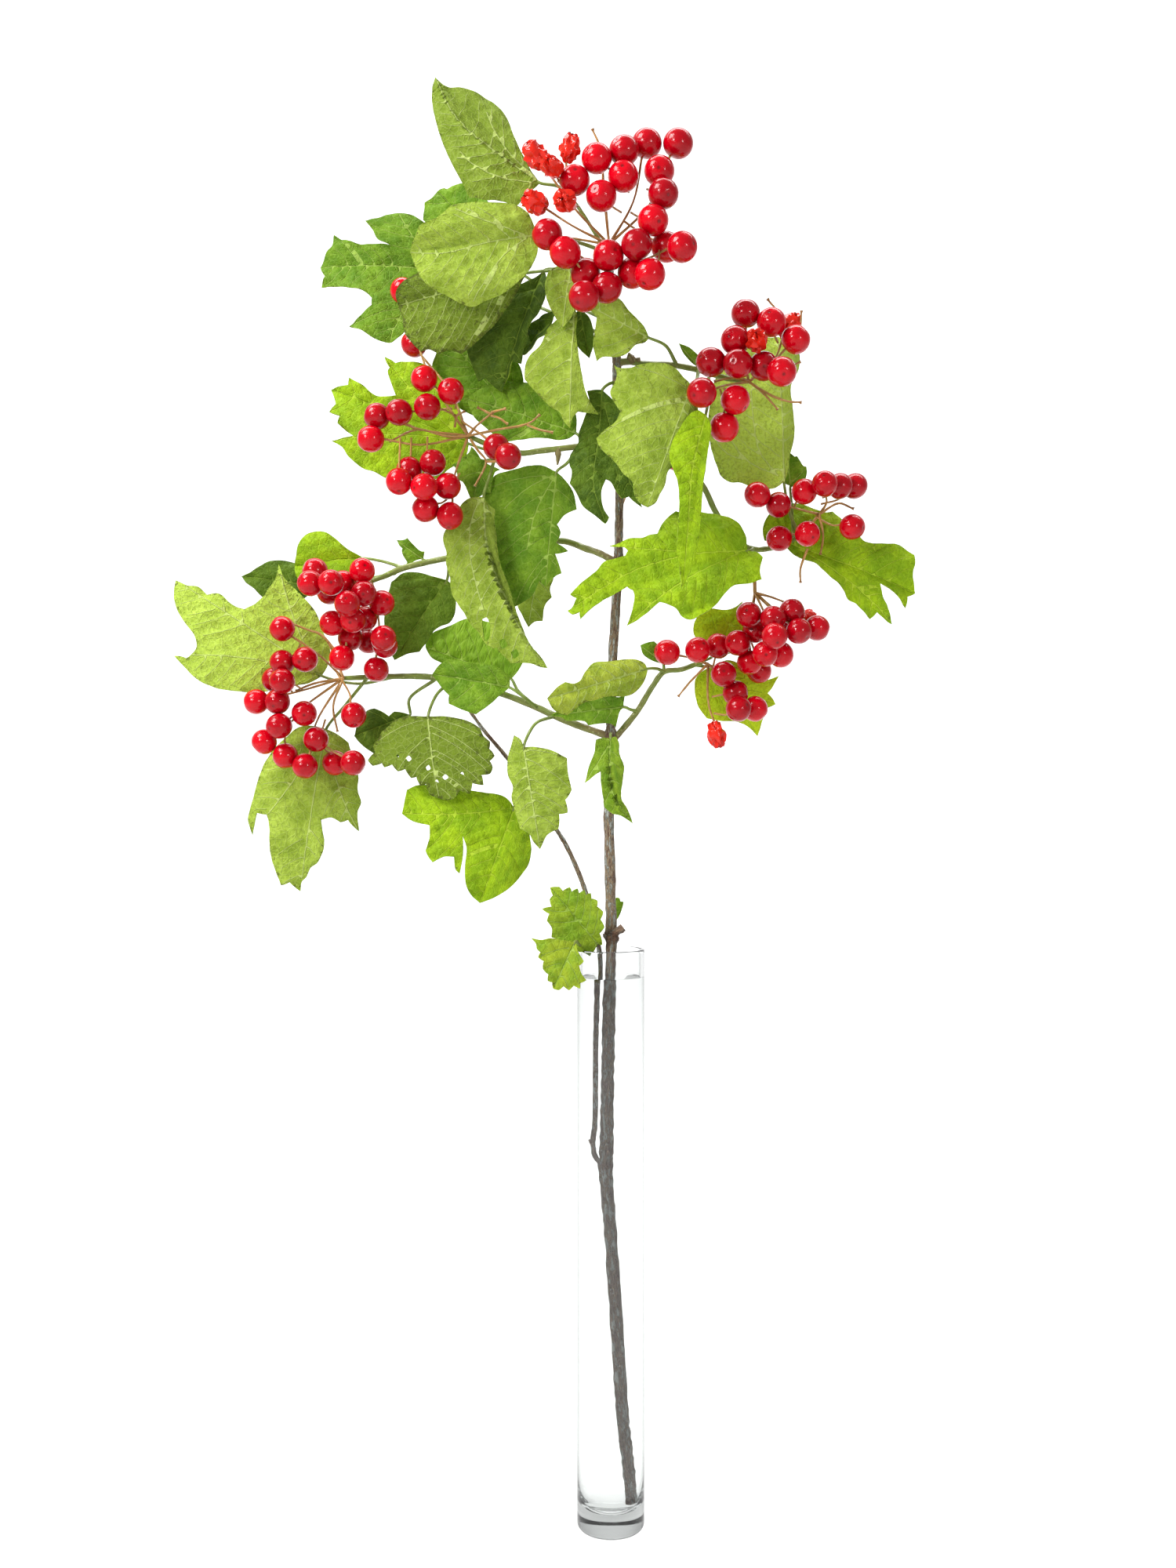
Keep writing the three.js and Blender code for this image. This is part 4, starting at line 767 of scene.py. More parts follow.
CORNER = 42
CORNER_STEPS = 4
BELLY = 0.05
VEIN_GAP = 16
OUTLINE_STEP = 3.6
TOOTH_SPAN = 27
TOOTH_NOTCH = 0.2
NOTCH_DEPTH = 0.13
NOTCH_SPREAD = (0.7, 1.2)
NOTCHED_BULGE = 0.07
MIDRIB, LOBE_VEIN, TOOTH_VEIN, FINE_VEIN = 1.0, 0.8, 0.5, 0.32


def with_notches(knots, side, chance):
    """Splits long spans into teeth, each with a short notch before its belly."""
    out = knots[:1]
    for start, end in zip(knots[:-1], knots[1:]):
        count = max(1, round(np.linalg.norm(end - start) / TOOTH_SPAN))
        spots = bowed(start, end, outward(start, end, side) * NOTCHED_BULGE, count)
        for one, two in zip(spots[:-1], spots[1:]):
            depth = NOTCH_DEPTH * chance.uniform(*NOTCH_SPREAD)
            out += [one + TOOTH_NOTCH * (two - one) - outward(one, two, side) * depth, two]
    return out


def with_small_veins(line, teeth):
    marks = lengths_along(line)
    tooth_marks = [marks[int(np.argmin(np.linalg.norm(line - tooth, axis=1)))] for tooth, _ in teeth]
    stops = [0.0, *tooth_marks, marks[-1]]
    ends = []
    for index, (low, high) in enumerate(zip(stops[:-1], stops[1:])):
        count = max(1, round((high - low) / VEIN_GAP))
        ends += [(place_at(line, low + (high - low) * k / count), FINE_VEIN) for k in range(1, count)]
        ends += teeth[index:index + 1]
    return ends


def blade_edge(leaf, spots, chance):
    """One side of the outline, and where its veins end."""
    knots = [flat(leaf["base"]), *[flat(spot) for spot in spots], flat(leaf["tip"])]
    swept = sum(np.cross(a - knots[0], b - knots[0]) for a, b in zip(knots[1:], knots[2:]))
    side = 1 if swept > 0 else -1
    if leaf.get("notched"):
        knots = with_notches(knots, side, chance)
    line, ends, run = [knots[0]], [], [knots[0]]
    for k in range(1, len(knots)):
        run.append(knots[k])
        last = k == len(knots) - 1
        turn = 0 if last else side * turned_by(knots[k] - knots[k - 1], knots[k + 1] - knots[k])
        if last or abs(turn) > CORNER:
            if len(run) == 2:
                line += list(bowed(*run, outward(*run, side) * BELLY))[1:]
            else:
                line += list(smooth_line(run, CORNER_STEPS))[1:]
            run = [knots[k]]
        if turn > CORNER:
            ends.append((knots[k], TOOTH_VEIN))
    line = dense(np.array(line), OUTLINE_STEP)
    return line, with_small_veins(line, ends)


# %% [markdown]
# ## Veins of a blade
# The midrib runs from base to tip, and in a lobed leaf a strong vein runs to each side lobe.
# Side veins leave these at about 45 degrees and end in the teeth. A vein that would crowd
# another is dropped. Teeth beyond the cut between two lobes belong to the midrib.

# %% Distances in the picture
def nearest_on(points, line):
    """Each point's distance from a line, the nearest stretch of it and the foot there."""
    starts, ends = line[:-1], line[1:]
    along = ends - starts
    reach = ((points[:, None] - starts) * along).sum(2) / np.maximum((along ** 2).sum(1), 1e-9)
    nearest = starts + np.clip(reach, 0, 1)[:, :, None] * along
    away = np.linalg.norm(points[:, None] - nearest, axis=2)
    best = away.argmin(1)
    rows = np.arange(len(points))
    return away[rows, best], best, nearest[rows, best]


def inside(points, outline):
    x, y = points[:, 0, None], points[:, 1, None]
    x1, y1 = outline[:, 0], outline[:, 1]
    x2, y2 = np.roll(x1, -1), np.roll(y1, -1)
    crosses = (y1 > y) != (y2 > y)
    with np.errstate(divide="ignore", invalid="ignore"):
        left = x < (x2 - x1) * (y - y1) / (y2 - y1) + x1
    return (crosses & left).sum(1) % 2 == 1


LEAST_VEIN = 13
VEIN_STEP = 5.0
VEIN_BULGE = 0.05
LOBE_BULGE = 0.04
VEIN_LEAN = 0.9
LEAVE_RANGE = (0.03, 0.96)


def side_vein(main, end):
    """A curved vein from its main vein to a place on the edge, and how far along it leaves."""
    marks = lengths_along(main)
    away = np.linalg.norm(main - end, axis=1)
    near = int(np.argmin(away))
    leave = max(marks[near] - VEIN_LEAN * away[near], LEAVE_RANGE[0] * marks[-1])
    leave = min(leave, LEAVE_RANGE[1] * marks[-1])
    start = place_at(main, leave)
    across = end - start
    side = np.sign(np.cross(main[-1] - main[0], across))
    bulge = side * np.array([-across[1], across[0]]) * VEIN_BULGE
    return bowed(start, end, bulge, 8), leave


def lobe_side_veins(midrib, lobe, point, cut, ends):
    ahead = unit(midrib[-1] - midrib[0])
    left = [[], [], []]
    lines = []
    for end, strength in sorted(ends, key=lambda end: -end[1]):
        main, group = midrib, 0
        if lobe is not None:
            beyond = np.dot(end - midrib[0], ahead) > np.dot(cut - midrib[0], ahead)
            if not beyond or np.linalg.norm(end - point) < np.linalg.norm(cut - point):
                main = lobe
                group = 1 if np.cross(lobe[-1] - lobe[0], end - lobe[0]) > 0 else 2
            if np.linalg.norm(end - point) < LEAST_VEIN:
                continue
        if nearest_on(end[None], main)[0][0] < LEAST_VEIN:
            continue
        line, leave = side_vein(main, end)
        if all(abs(leave - other) > VEIN_STEP for other in left[group]):
            left[group].append(leave)
            lines.append((line if strength > FINE_VEIN else line[:-1], strength))
    return lines


def blade_veins(leaf, sides):
    """The midrib, and all veins as (line, strength): midrib, written, lobe and side veins."""
    rib = [flat(leaf["base"]), *[flat(spot) for spot in leaf.get("rib", [])], flat(leaf["tip"])]
    midrib = smooth_line(rib, 12) if len(rib) > 2 else bowed(rib[0], rib[1], np.zeros(2), 24)
    ahead = unit(midrib[-1] - midrib[0])
    lines = [(midrib, MIDRIB)]
    lines += [(smooth_line([flat(spot) for spot in line], 8), LOBE_VEIN) for line in leaf.get("ribs", [])]
    for point, cut, ends in zip(leaf["lobes"], leaf.get("cuts", (None, None)), sides):
        point = flat(point)
        lobe = None
        if cut is not None:
            cut = flat(cut)
            across = point - midrib[0]
            bulge = np.sign(np.cross(ahead, across)) * np.array([across[1], -across[0]]) * LOBE_BULGE
            lobe = bowed(midrib[0], point, bulge, 16)
            lines.append((lobe, LOBE_VEIN))
        lines += lobe_side_veins(midrib, lobe, point, cut, ends)
    return midrib, lines


# %% [markdown]
# ## Filling the outline
# Outline, holes and veins are fixed edges, with staggered rows of points between them. A
# Delaunay triangulation joins them all with even triangles. Points too near an edge or a vein
# are left out, as they would make slivers.

# %% Fill a blade with triangles
GRID = 3.8
ROW_SHARE = 0.866
EDGE_ROOM, VEIN_EDGE_ROOM, VEIN_GRID_ROOM, VEIN_ROOM = 0.6, 0.35, 0.55, 0.95
JOINED_GAP, START_GAP, MERGE_GAP = 1.5, 3, 0.3
HOLE_STEPS = 3
INSIDE_ONLY = 1


def rows_of_points(outline, loop):
    low, high = outline.min(0), outline.max(0)
    columns = np.arange(low[0], high[0], GRID)
    rows = np.arange(low[1], high[1], GRID * ROW_SHARE)
    grid = np.array([(x + GRID / 2 * (k % 2), y) for k, y in enumerate(rows) for x in columns])
    grid = grid[inside(grid, outline)]
    return grid[nearest_on(grid, loop)[0] > EDGE_ROOM * GRID]


def ring_edges(first, count):
    return [(first + k, first + (k + 1) % count) for k in range(count)]


def free_part(line, outline, loop, taken):
    """The places of a vein that lie well inside and clear of the veins before it."""
    free = dense(line, GRID)[1:-1]
    free = free[inside(free, outline)]
    if len(free):
        free = free[nearest_on(free, loop)[0] > VEIN_EDGE_ROOM * GRID]
    if len(free) and len(taken):
        free = free[np.linalg.norm(free[:, None] - taken, axis=2).min(1) > VEIN_ROOM * GRID]
    return free


def fill_outline(outline, loop, lines, holes):
    """Places and triangles of a blade, and the veins that found room in it."""
    grid = rows_of_points(outline, loop)
    points = list(outline)
    edges = ring_edges(0, len(outline))
    for hole in holes:
        edges += ring_edges(len(points), len(hole))
        points += list(hole)
    kept, taken = [], np.empty((0, 2))
    for line, strength in lines:
        free = free_part(line, outline, loop, taken)
        if len(free) < 2:
            continue
        grid = grid[nearest_on(grid, free)[0] > VEIN_GRID_ROOM * GRID]
        edges += [(len(points) + k, len(points) + k + 1) for k in range(len(free) - 1)
                  if np.linalg.norm(free[k + 1] - free[k]) < JOINED_GAP * GRID]
        points += list(free)
        taken = np.concatenate([taken, free])
        start = line[:1] if np.linalg.norm(free[0] - line[0]) < START_GAP * GRID else free[:1]
        kept.append((np.concatenate([start, free]), strength))
    points = [tuple(map(float, point)) for point in [*points, *grid]]
    border = [list(range(len(outline)))]
    filled, _, faces, *_ = geometry.delaunay_2d_cdt(points, edges, border, INSIDE_ONLY, MERGE_GAP)
    places = np.array([tuple(point) for point in filled])
    corners = np.array([face for face in faces if len(face) == 3])
    for hole in holes:
        corners = corners[~inside(places[corners].mean(axis=1), hole)]
    return places, corners, kept


# %% [markdown]
# ## From the picture into space
# Each half of a blade lies in a plane through its base, its tip and the point of its side
# lobe, so the leaf is folded a little along its midrib. A place in the picture is put on that
# plane along the line of sight, and near a bent midrib it moves to the rib's own depth.

# %% Blade in space
RIB_STEPS = 12
STRAIGHT_RIB_STEPS = 24
RIB_SPREAD = 0.6


def half_plane(leaf, lobe):
    base, along = seen(leaf["base"]), seen(leaf["tip"]) - seen(leaf["base"])
    across = seen(lobe) - base
    return base, along, across - along * across.dot(along) / along.dot(along)


def on_half(places, half):
    """Shares (along the rib, across to the lobe) where the sight lines of places meet a half."""
    base, along, across = half
    normal = unit(np.cross(along, across))
    sight = np.stack([
        (places[:, 0] - PICTURE[0] / 2) * MM_PER_PIXEL,
        np.full(len(places), -EYE[1]),
        -(places[:, 1] - PICTURE[1] / 2) * MM_PER_PIXEL,
    ], axis=1)
    reach = (base - EYE).dot(normal) / sight.dot(normal)
    offset = EYE + sight * reach[:, None] - base
    return offset.dot(along) / along.dot(along), offset.dot(across) / across.dot(across)


def rib_in_space(leaf, shares):
    base, tip = seen(leaf["base"]), seen(leaf["tip"])
    if "rib" in leaf:
        line = smooth_line([base, *[seen(spot) for spot in leaf["rib"]], tip], RIB_STEPS)
    else:
        steps = STRAIGHT_RIB_STEPS
        line = np.array([base + (tip - base) * k / steps for k in range(steps + 1)])
    marks = np.linspace(0, 1, len(line))
    return np.stack([np.interp(shares, marks, line[:, axis]) for axis in range(3)], 1)


def on_two_halves(leaf, places, midrib):
    """Points in space, their shares of their half, its number, both halves, and shares of the rib."""
    away, stretch, foot = nearest_on(places, midrib)
    ahead = (midrib[1:] - midrib[:-1])[stretch]
    side = np.sign(np.cross(ahead, places - foot))
    first_side = np.sign(np.cross(midrib[-1] - midrib[0], flat(leaf["lobes"][0]) - midrib[0]))
    mine = np.where(side * first_side >= 0, 0, 1)
    halves = [half_plane(leaf, lobe) for lobe in leaf["lobes"]]
    along_rib = lengths_along(midrib)[stretch] / lengths_along(midrib)[-1]
    rib_points = rib_in_space(leaf, along_rib)
    spread = max(1.0, RIB_SPREAD * away.max())
    space = np.zeros((len(places), 3))
    shares = np.zeros((len(places), 2))
    for number, half in enumerate(halves):
        chosen = mine == number
        t, w = on_half(places[chosen], half)
        foot_t, foot_w = on_half(foot[chosen], half)
        flat_rib = half[0] + np.outer(foot_t, half[1]) + np.outer(foot_w, half[2])
        pull = np.exp(-((away[chosen] / spread) ** 2))[:, None]
        shift = (rib_points[chosen] - flat_rib) * [0, 1, 0] if "rib" in leaf else 0
        space[chosen] = half[0] + np.outer(t, half[1]) + np.outer(w, half[2]) + shift * pull
        shares[chosen] = np.stack([t, w], 1)
    return space, shares, mine, halves, along_rib


# %% [markdown]
# ## Relief of a blade
# The leaf's bow and cup lift each point, the panels between the veins swell towards the upper
# side, the margin waves and the whole is a little dented. The bump of the material only adds
# what is finer.

# %% Relief of a blade
PANEL_RISE = 0.5
PANEL_WIDTH = 1.9
WAVE = 0.9
WAVE_REACH = 5
DENT = 0.45
FAR_FROM_VEIN = 99.0
RIB_TAPER = 0.55
OTHER_TAPER = 0.8


def vein_distance(places, kept, along_rib):
    """Distance from the nearest vein in mm, made shorter for a strong vein."""
    vein = np.full(len(places), FAR_FROM_VEIN)
    for line, strength in kept:
        distance = nearest_on(places, line)[0] * MM_PER_PIXEL
        taper = 1 - RIB_TAPER * along_rib if strength == MIDRIB else OTHER_TAPER
        vein = np.minimum(vein, distance / (strength * taper + 0.1))
    return vein


def relief(leaf, places, shares, vein, rim, seed):
    t = np.clip(shares[:, 0], 0, 1)
    w = np.clip(np.abs(shares[:, 1]), 0, 1.2)
    panel = 1 - np.exp(-((vein / PANEL_WIDTH) ** 2))
    toward = -1 if leaf.get("look", "green") == "under" else 1
    wave = np.array([math.sin(x * 0.11 + seed) * math.cos(y * 0.09 + 2 * seed) for x, y in places])
    dent = np.array([
        math.sin(x * 0.23 + y * 0.12 + seed) * math.sin(y * 0.27 - x * 0.1 + 3 * seed) for x, y in places
    ])
    lift = 4 * leaf["bow"] * t * (1 - t) + 4 * leaf["cup"] * w * (1 - w)
    return lift + toward * PANEL_RISE * panel + WAVE * wave * np.exp(-rim / WAVE_REACH) + DENT * dent


def point_normals(space, corners, turn):
    normals = np.zeros_like(space)
    for corner in range(3):
        np.add.at(normals, corners[:, corner], turn)
    return normals / np.maximum(np.linalg.norm(normals, axis=1), 1e-9)[:, None]


def blade(leaf, seed):
    """Points, normals, triangles, places and values of the middle sheet."""
    chance = random.Random(seed)
    (first, ends0), (second, ends1) = (blade_edge(leaf, spots, chance) for spots in leaf["sides"])
    outline = np.concatenate([first, second[1:-1][::-1]])
    loop = np.concatenate([outline, outline[:1]])
    holes = [smooth_line([flat(spot) for spot in (*hole, hole[0])], HOLE_STEPS)[:-1]
             for hole in leaf.get("holes", [])]
    midrib, lines = blade_veins(leaf, (ends0, ends1))
    places, corners, kept = fill_outline(outline, loop, lines, holes)
    space, shares, mine, halves, along_rib = on_two_halves(leaf, places, midrib)

    vein = vein_distance(places, kept, along_rib)
    rim = nearest_on(places, loop)[0] * MM_PER_PIXEL
    along = seen(leaf["tip"]) - seen(leaf["base"])
    normal = unit(np.cross(along, halves[1][2] - halves[0][2]))
    normal = -normal if normal[1] > 0 else normal
    space = space + np.outer(relief(leaf, places, shares, vein, rim, seed), normal)
    across = np.where(mine == 0, shares[:, 1], -shares[:, 1]) * np.linalg.norm(halves[0][2])
    length = shares[:, 0] * np.linalg.norm(along) + 100 * seed
    leaf_places = np.stack([length, across, np.zeros(len(places))], 1)

    sides = space[corners[:, 1:]] - space[corners[:, :1]]
    turn = np.cross(sides[:, 0], sides[:, 1])
    if (turn.dot(normal)).sum() < 0:
        corners = corners[:, ::-1]
        turn = -turn
    return space, point_normals(space, corners, turn), corners, leaf_places, {"vein": vein, "rim": rim}


# %% [markdown]
# ## A closed leaf
# Front and back lie half a thickness to either side of the middle sheet, and a narrow band
# closes the edge and the holes. The stalk is a tube.

# %% A blade with its stalk
BLADE_THICKNESS = 0.4
STALK_RADII = [0.35, 0.6, 0.65, 0.8]
STALK_START = 0.08
FRONT, BACK, STALK = 0, 1, 2


def rim_edges(corners):
    """Directed edges that only one triangle has: the border of the sheet."""
    edges = {(a, b) for face in corners for a, b in zip(face, np.roll(face, -1))}
    return [(a, b) for a, b in edges if (b, a) not in edges]


def add_leaf(book, leaf, seed):
    space, normals, corners, places, values = blade(leaf, seed)
    half = normals * BLADE_THICKNESS / 2
    count = len(space)
    back = corners[:, ::-1] + count
    band = [(b, a, a + count, b + count) for a, b in rim_edges(corners)]
    both = {name: np.tile(value, 2) for name, value in values.items()}
    both |= {name: leaf.get(name, 0.0) for name in ("tint", "spot", "shade")}
    faces = [*map(tuple, corners), *map(tuple, back), *band]
    finishes = [FRONT] * len(corners) + [BACK] * (len(back) + len(band))
    book.add([*(space + half), *(space - half)], faces, finishes, [*places, *places], **both)
    base, tip = seen(leaf["base"]), seen(leaf["tip"])
    line = [base + STALK_START * (tip - base), base, *[seen(spot) for spot in leaf["stalk"]]]
    book.add_tube(line, STALK_RADII, STALK, (0.25, 0.25), sides=8, steps=8, wobble=0.03, seed=seed)


# %% [markdown]
# ## The leaves
# Each leaf has a base and a tip, the points of its side lobes, the outline of its two sides,
# its bow and cup in mm, and the line of its stalk. "look" is the finish that faces the viewer.
# Some also have "cuts" between lobes, a bent midrib as "rib", strong veins as "ribs", "holes"
# that insects ate, "tint" for yellow, "spot" for specks, and "shade", which above zero is
# painted shade and below zero painted light. The first ten make up the crown.

# %% Leaves of the crown
LEAVES = {}


def new_leaf(name, look="under", bow=2, cup=1, **facts):
    LEAVES["leaf_" + name] = dict(facts, look=look, bow=bow, cup=cup)


new_leaf("crown_tall", base=(688, 233, -30), tip=(556, 100, -14), bow=3, cup=2, shade=0.6,
    lobes=[(600, 247, -22), (640, 143, -20)], rib=[(640, 203, -24), (585, 155, -18)],
    ribs=[[(684, 227), (655, 202), (634, 172), (624, 148)], [(680, 236), (640, 232), (605, 215),
        (590, 200)]],
    sides=[[(676, 250), (658, 266), (639, 259), (619, 258), (600, 254), (593, 239), (580, 215), (568, 188),
        (560, 162), (554, 139), (553, 116)],
        [(680, 222), (668, 200), (658, 178), (649, 156), (639, 143), (619, 128), (600, 119), (580, 114),
        (566, 110)]],
    stalk=[(716, 240, -31), (777, 325, -33)])
new_leaf("crown_round", base=(684, 300, -39), tip=(524, 322, -28), bow=4, cup=3, shade=-0.1,
    lobes=[(606, 391, -26), (600, 257, -38)], rib=[(630, 308, -35), (570, 323, -31)],
    ribs=[[(676, 301), (640, 287), (609, 276), (583, 266)], [(676, 302), (650, 322), (628, 352),
        (606, 386)]],
    sides=[[(688, 318), (683, 335), (672, 352), (655, 367), (640, 377), (622, 384), (605, 391), (592, 387),
        (576, 378), (556, 368), (541, 354), (533, 342)],
        [(676, 272), (660, 262), (640, 259), (600, 259), (580, 263), (571, 271), (560, 279), (541, 287),
        (534, 300), (527, 312)]],
    stalk=[(712, 302, -40), (776, 322, -34)])
new_leaf("crown_olive", base=(672, 348, -20), tip=(508, 390, -12), bow=3, cup=2, shade=0.85, spot=0.08,
    lobes=[(572, 458, -10), (570, 332, -18)],
    sides=[[(650, 392), (628, 420), (606, 440), (590, 452), (575, 447), (562, 452), (548, 446), (538, 449),
        (527, 438), (517, 424), (514, 407)],
        [(640, 336), (600, 330), (560, 340), (530, 352), (516, 360), (507, 372)]],
    stalk=[(716, 344, -24), (778, 338, -30)])
new_leaf("crown_dark", base=(694, 345, -14), tip=(640, 500, -6), look="dark", bow=3, shade=0.2,
    lobes=[(612, 400, -6), (668, 466, -11)],
    sides=[[(678, 360), (650, 372), (622, 385), (606, 392), (599, 410), (597, 430), (600, 452), (606, 470),
        (613, 488), (622, 484)],
        [(700, 362), (696, 390), (684, 412), (678, 425), (680, 440), (672, 446), (668, 466), (657, 462),
        (652, 480), (647, 486)]],
    stalk=[(735, 346, -21), (778, 352, -28)])
new_leaf("left_three_lobed", base=(560, 345, 15), tip=(409, 342, 22), look="green", bow=3, cup=2,
    shade=0.15, lobes=[(498, 440, 12), (511, 277, 20)], cuts=[(481, 386), (507, 322)],
    sides=[[(548, 380), (530, 415), (512, 434), (498, 440), (480, 436), (466, 428), (449, 422), (460, 412),
        (468, 404), (478, 396), (479, 388), (471, 380), (454, 374), (432, 370), (413, 371), (417, 356)],
        [(552, 305), (545, 290), (536, 284), (528, 279), (510, 277), (493, 281), (470, 289), (479, 300),
        (486, 313), (502, 320), (480, 319), (458, 317), (444, 312), (438, 311), (429, 305), (427, 318),
        (419, 326)]],
    stalk=[(640, 372, 8), (780, 432, -16)])
new_leaf("behind_crown", base=(640, 330, 12), tip=(558, 244, 20), look="green", cup=2,
    lobes=[(550, 296, 20), (626, 246, 14)],
    sides=[[(600, 320), (560, 300), (541, 282), (543, 270), (544, 261), (553, 256)],
        [(644, 285), (615, 250), (596, 240), (585, 240), (572, 243), (568, 241)]],
    stalk=[(700, 372, 7), (781, 412, -19)])
new_leaf("pale_hanging", base=(733, 392, -25), tip=(727, 546, -20), bow=3,
    lobes=[(668, 470, -17), (764, 529, -19)], cuts=[None, (738, 526)],
    sides=[[(722, 398), (700, 422), (692, 441), (680, 453), (672, 467), (671, 485), (680, 496), (689, 506),
        (704, 520), (714, 526), (720, 538)],
        [(737, 405), (735, 425), (739, 450), (743, 475), (748, 500), (756, 518), (764, 529), (748, 527),
        (738, 526), (731, 534)]],
    stalk=[(750, 374, -26), (779, 368, -26)])
new_leaf("folded_grey", base=(729, 343, -28), tip=(717, 419, -28), bow=1,
    lobes=[(695, 362, -26), (737, 396, -29)],
    sides=[[(715, 340), (700, 347), (695, 362), (699, 385), (707, 402)],
        [(738, 352), (741, 372), (736, 392), (727, 408)]],
    stalk=[(748, 334, -29), (778, 334, -31)])
new_leaf("slim_dark_right", base=(740, 394, -20), tip=(752, 457, -17), look="dark", bow=1, cup=0,
    lobes=[(735, 442, -18), (759, 432, -20)],
    sides=[[(730, 405), (730, 422), (736, 440)], [(752, 405), (758, 425), (757, 442)]],
    stalk=[(758, 382, -22), (781, 388, -24)])
new_leaf("slim_dark_left", base=(716, 398, -14), tip=(667, 453, -7), look="dark", bow=1, cup=0,
    lobes=[(690, 404, -9), (684, 446, -12)],
    sides=[[(700, 402), (685, 412), (675, 424), (667, 440)],
        [(706, 410), (700, 424), (686, 436), (680, 447)]],
    stalk=[(745, 390, -18), (782, 400, -22)])
print("leaves so far:", len(LEAVES))

# %% [markdown]
# ## Leaves on the right
# These hang from the upper twigs on the right and from the stem behind them.

# %% Leaves on the right
new_leaf("upper_right", base=(828, 431, -23), tip=(750, 389, -22), cup=2,
    lobes=[(762, 461, -20), (793, 373, -26)],
    sides=[[(823, 437), (812, 441), (800, 452), (788, 456), (770, 456), (762, 461), (758, 440), (761, 417),
        (762, 405), (753, 396)],
        [(822, 417), (812, 406), (802, 396), (793, 384), (780, 376), (762, 376)]],
    stalk=[(848, 440, -21), (862, 463, -12)])
new_leaf("large_pale", base=(882, 494, -26), tip=(826, 647, -24), bow=3, cup=3,
    lobes=[(786, 468, -20), (880, 570, -21)],
    sides=[[(879, 488), (872, 482), (860, 470), (844, 465), (820, 466), (805, 470), (790, 470), (783, 465),
        (787, 477), (786, 486), (779, 500), (780, 508), (786, 519), (792, 527), (786, 541), (772, 551),
        (761, 561), (765, 572), (775, 583), (786, 593), (796, 607), (807, 617), (809, 632), (816, 642)],
        [(888, 512), (890, 530), (888, 552), (880, 570), (870, 582), (860, 596), (852, 604), (848, 622),
        (842, 632), (836, 643)]],
    stalk=[(888, 486, -19), (891, 472, -10)])
new_leaf("bright_hanging", base=(900, 530, -30), tip=(870, 753, -30), look="bright", shade=-0.2,
    lobes=[(852, 582, -30), (891, 700, -29)], rib=[(882, 600, -30), (876, 680, -30)],
    sides=[[(890, 524), (880, 528), (866, 548), (857, 565), (853, 585), (857, 600), (863, 616), (865, 640),
        (864, 672), (862, 700), (866, 725)],
        [(906, 545), (904, 565), (900, 590), (896, 615), (894, 640), (892, 668), (888, 700), (880, 728)]],
    stalk=[(904, 508, -22), (904, 475, -10.4)])
new_leaf("bright_wide", base=(953, 703, -8), tip=(724, 780, -18), look="bright", bow=3, cup=2,
    lobes=[(801, 799, -20), (778, 700, -12)], cuts=[(797, 752), (801, 711)],
    rib=[(872, 714, -10), (800, 737, -13)],
    sides=[[(965, 706), (972, 714), (968, 730), (971, 740), (954, 746), (940, 748), (932, 752), (922, 762),
        (911, 774), (900, 783), (881, 792), (873, 790), (862, 780), (851, 776), (840, 773), (827, 784),
        (813, 793), (799, 801), (804, 788), (808, 768), (806, 758), (799, 753), (784, 760), (770, 768),
        (758, 776), (749, 783), (740, 793), (739, 783), (730, 786)],
        [(951, 687), (943, 673), (932, 664), (919, 659), (895, 657), (862, 652), (851, 662), (843, 673),
        (838, 684), (827, 687), (816, 692), (803, 691), (792, 695), (777, 700), (795, 703), (800, 708),
        (797, 714), (784, 719), (770, 722), (760, 733), (748, 742), (738, 750), (727, 760), (735, 765),
        (729, 777)]],
    stalk=[(958, 702, -5), (960, 700, 4)])
new_leaf("dark_centre", base=(768, 498, -15), tip=(772, 668, -15), look="dark",
    lobes=[(727, 605, -13), (818, 646, -14)], cuts=[None, (774, 612)],
    rib=[(764, 555, -14), (757, 618, -14)],
    sides=[[(757, 498), (749, 500), (752, 515), (748, 530), (738, 556), (738, 566), (728, 582), (727, 594),
        (730, 602), (727, 618), (735, 629), (744, 647), (757, 657)],
        [(785, 515), (792, 528), (788, 560), (800, 600), (812, 630), (819, 648), (802, 634), (793, 637),
        (786, 628), (779, 616), (773, 612), (768, 625), (767, 633), (770, 649), (777, 660)]],
    stalk=[(776, 490, -15), (786, 488, -11)])
new_leaf("grey_right", base=(1000, 616, 4), tip=(992, 429, 22), shade=-0.8,
    ribs=[[(994, 609), (955, 592), (935, 570), (925, 545)], [(992, 607), (968, 580), (960, 545), (956, 500)],
        [(955, 592), (925, 580), (912, 565)]],
    lobes=[(905, 560, 8), (1018, 462, 21)],
    sides=[[(985, 624), (965, 622), (945, 617), (932, 616), (921, 610), (914, 595), (907, 577), (904, 560),
        (903, 535), (906, 510), (912, 485), (925, 460), (950, 440), (972, 432)],
        [(1005, 600), (1006, 585), (1010, 570), (1012, 548), (1009, 519), (1007, 497), (1018, 472),
        (1020, 455), (1012, 436)]],
    stalk=[(1004, 640, 6), (1010, 662, 8), (1020, 681, 10)])
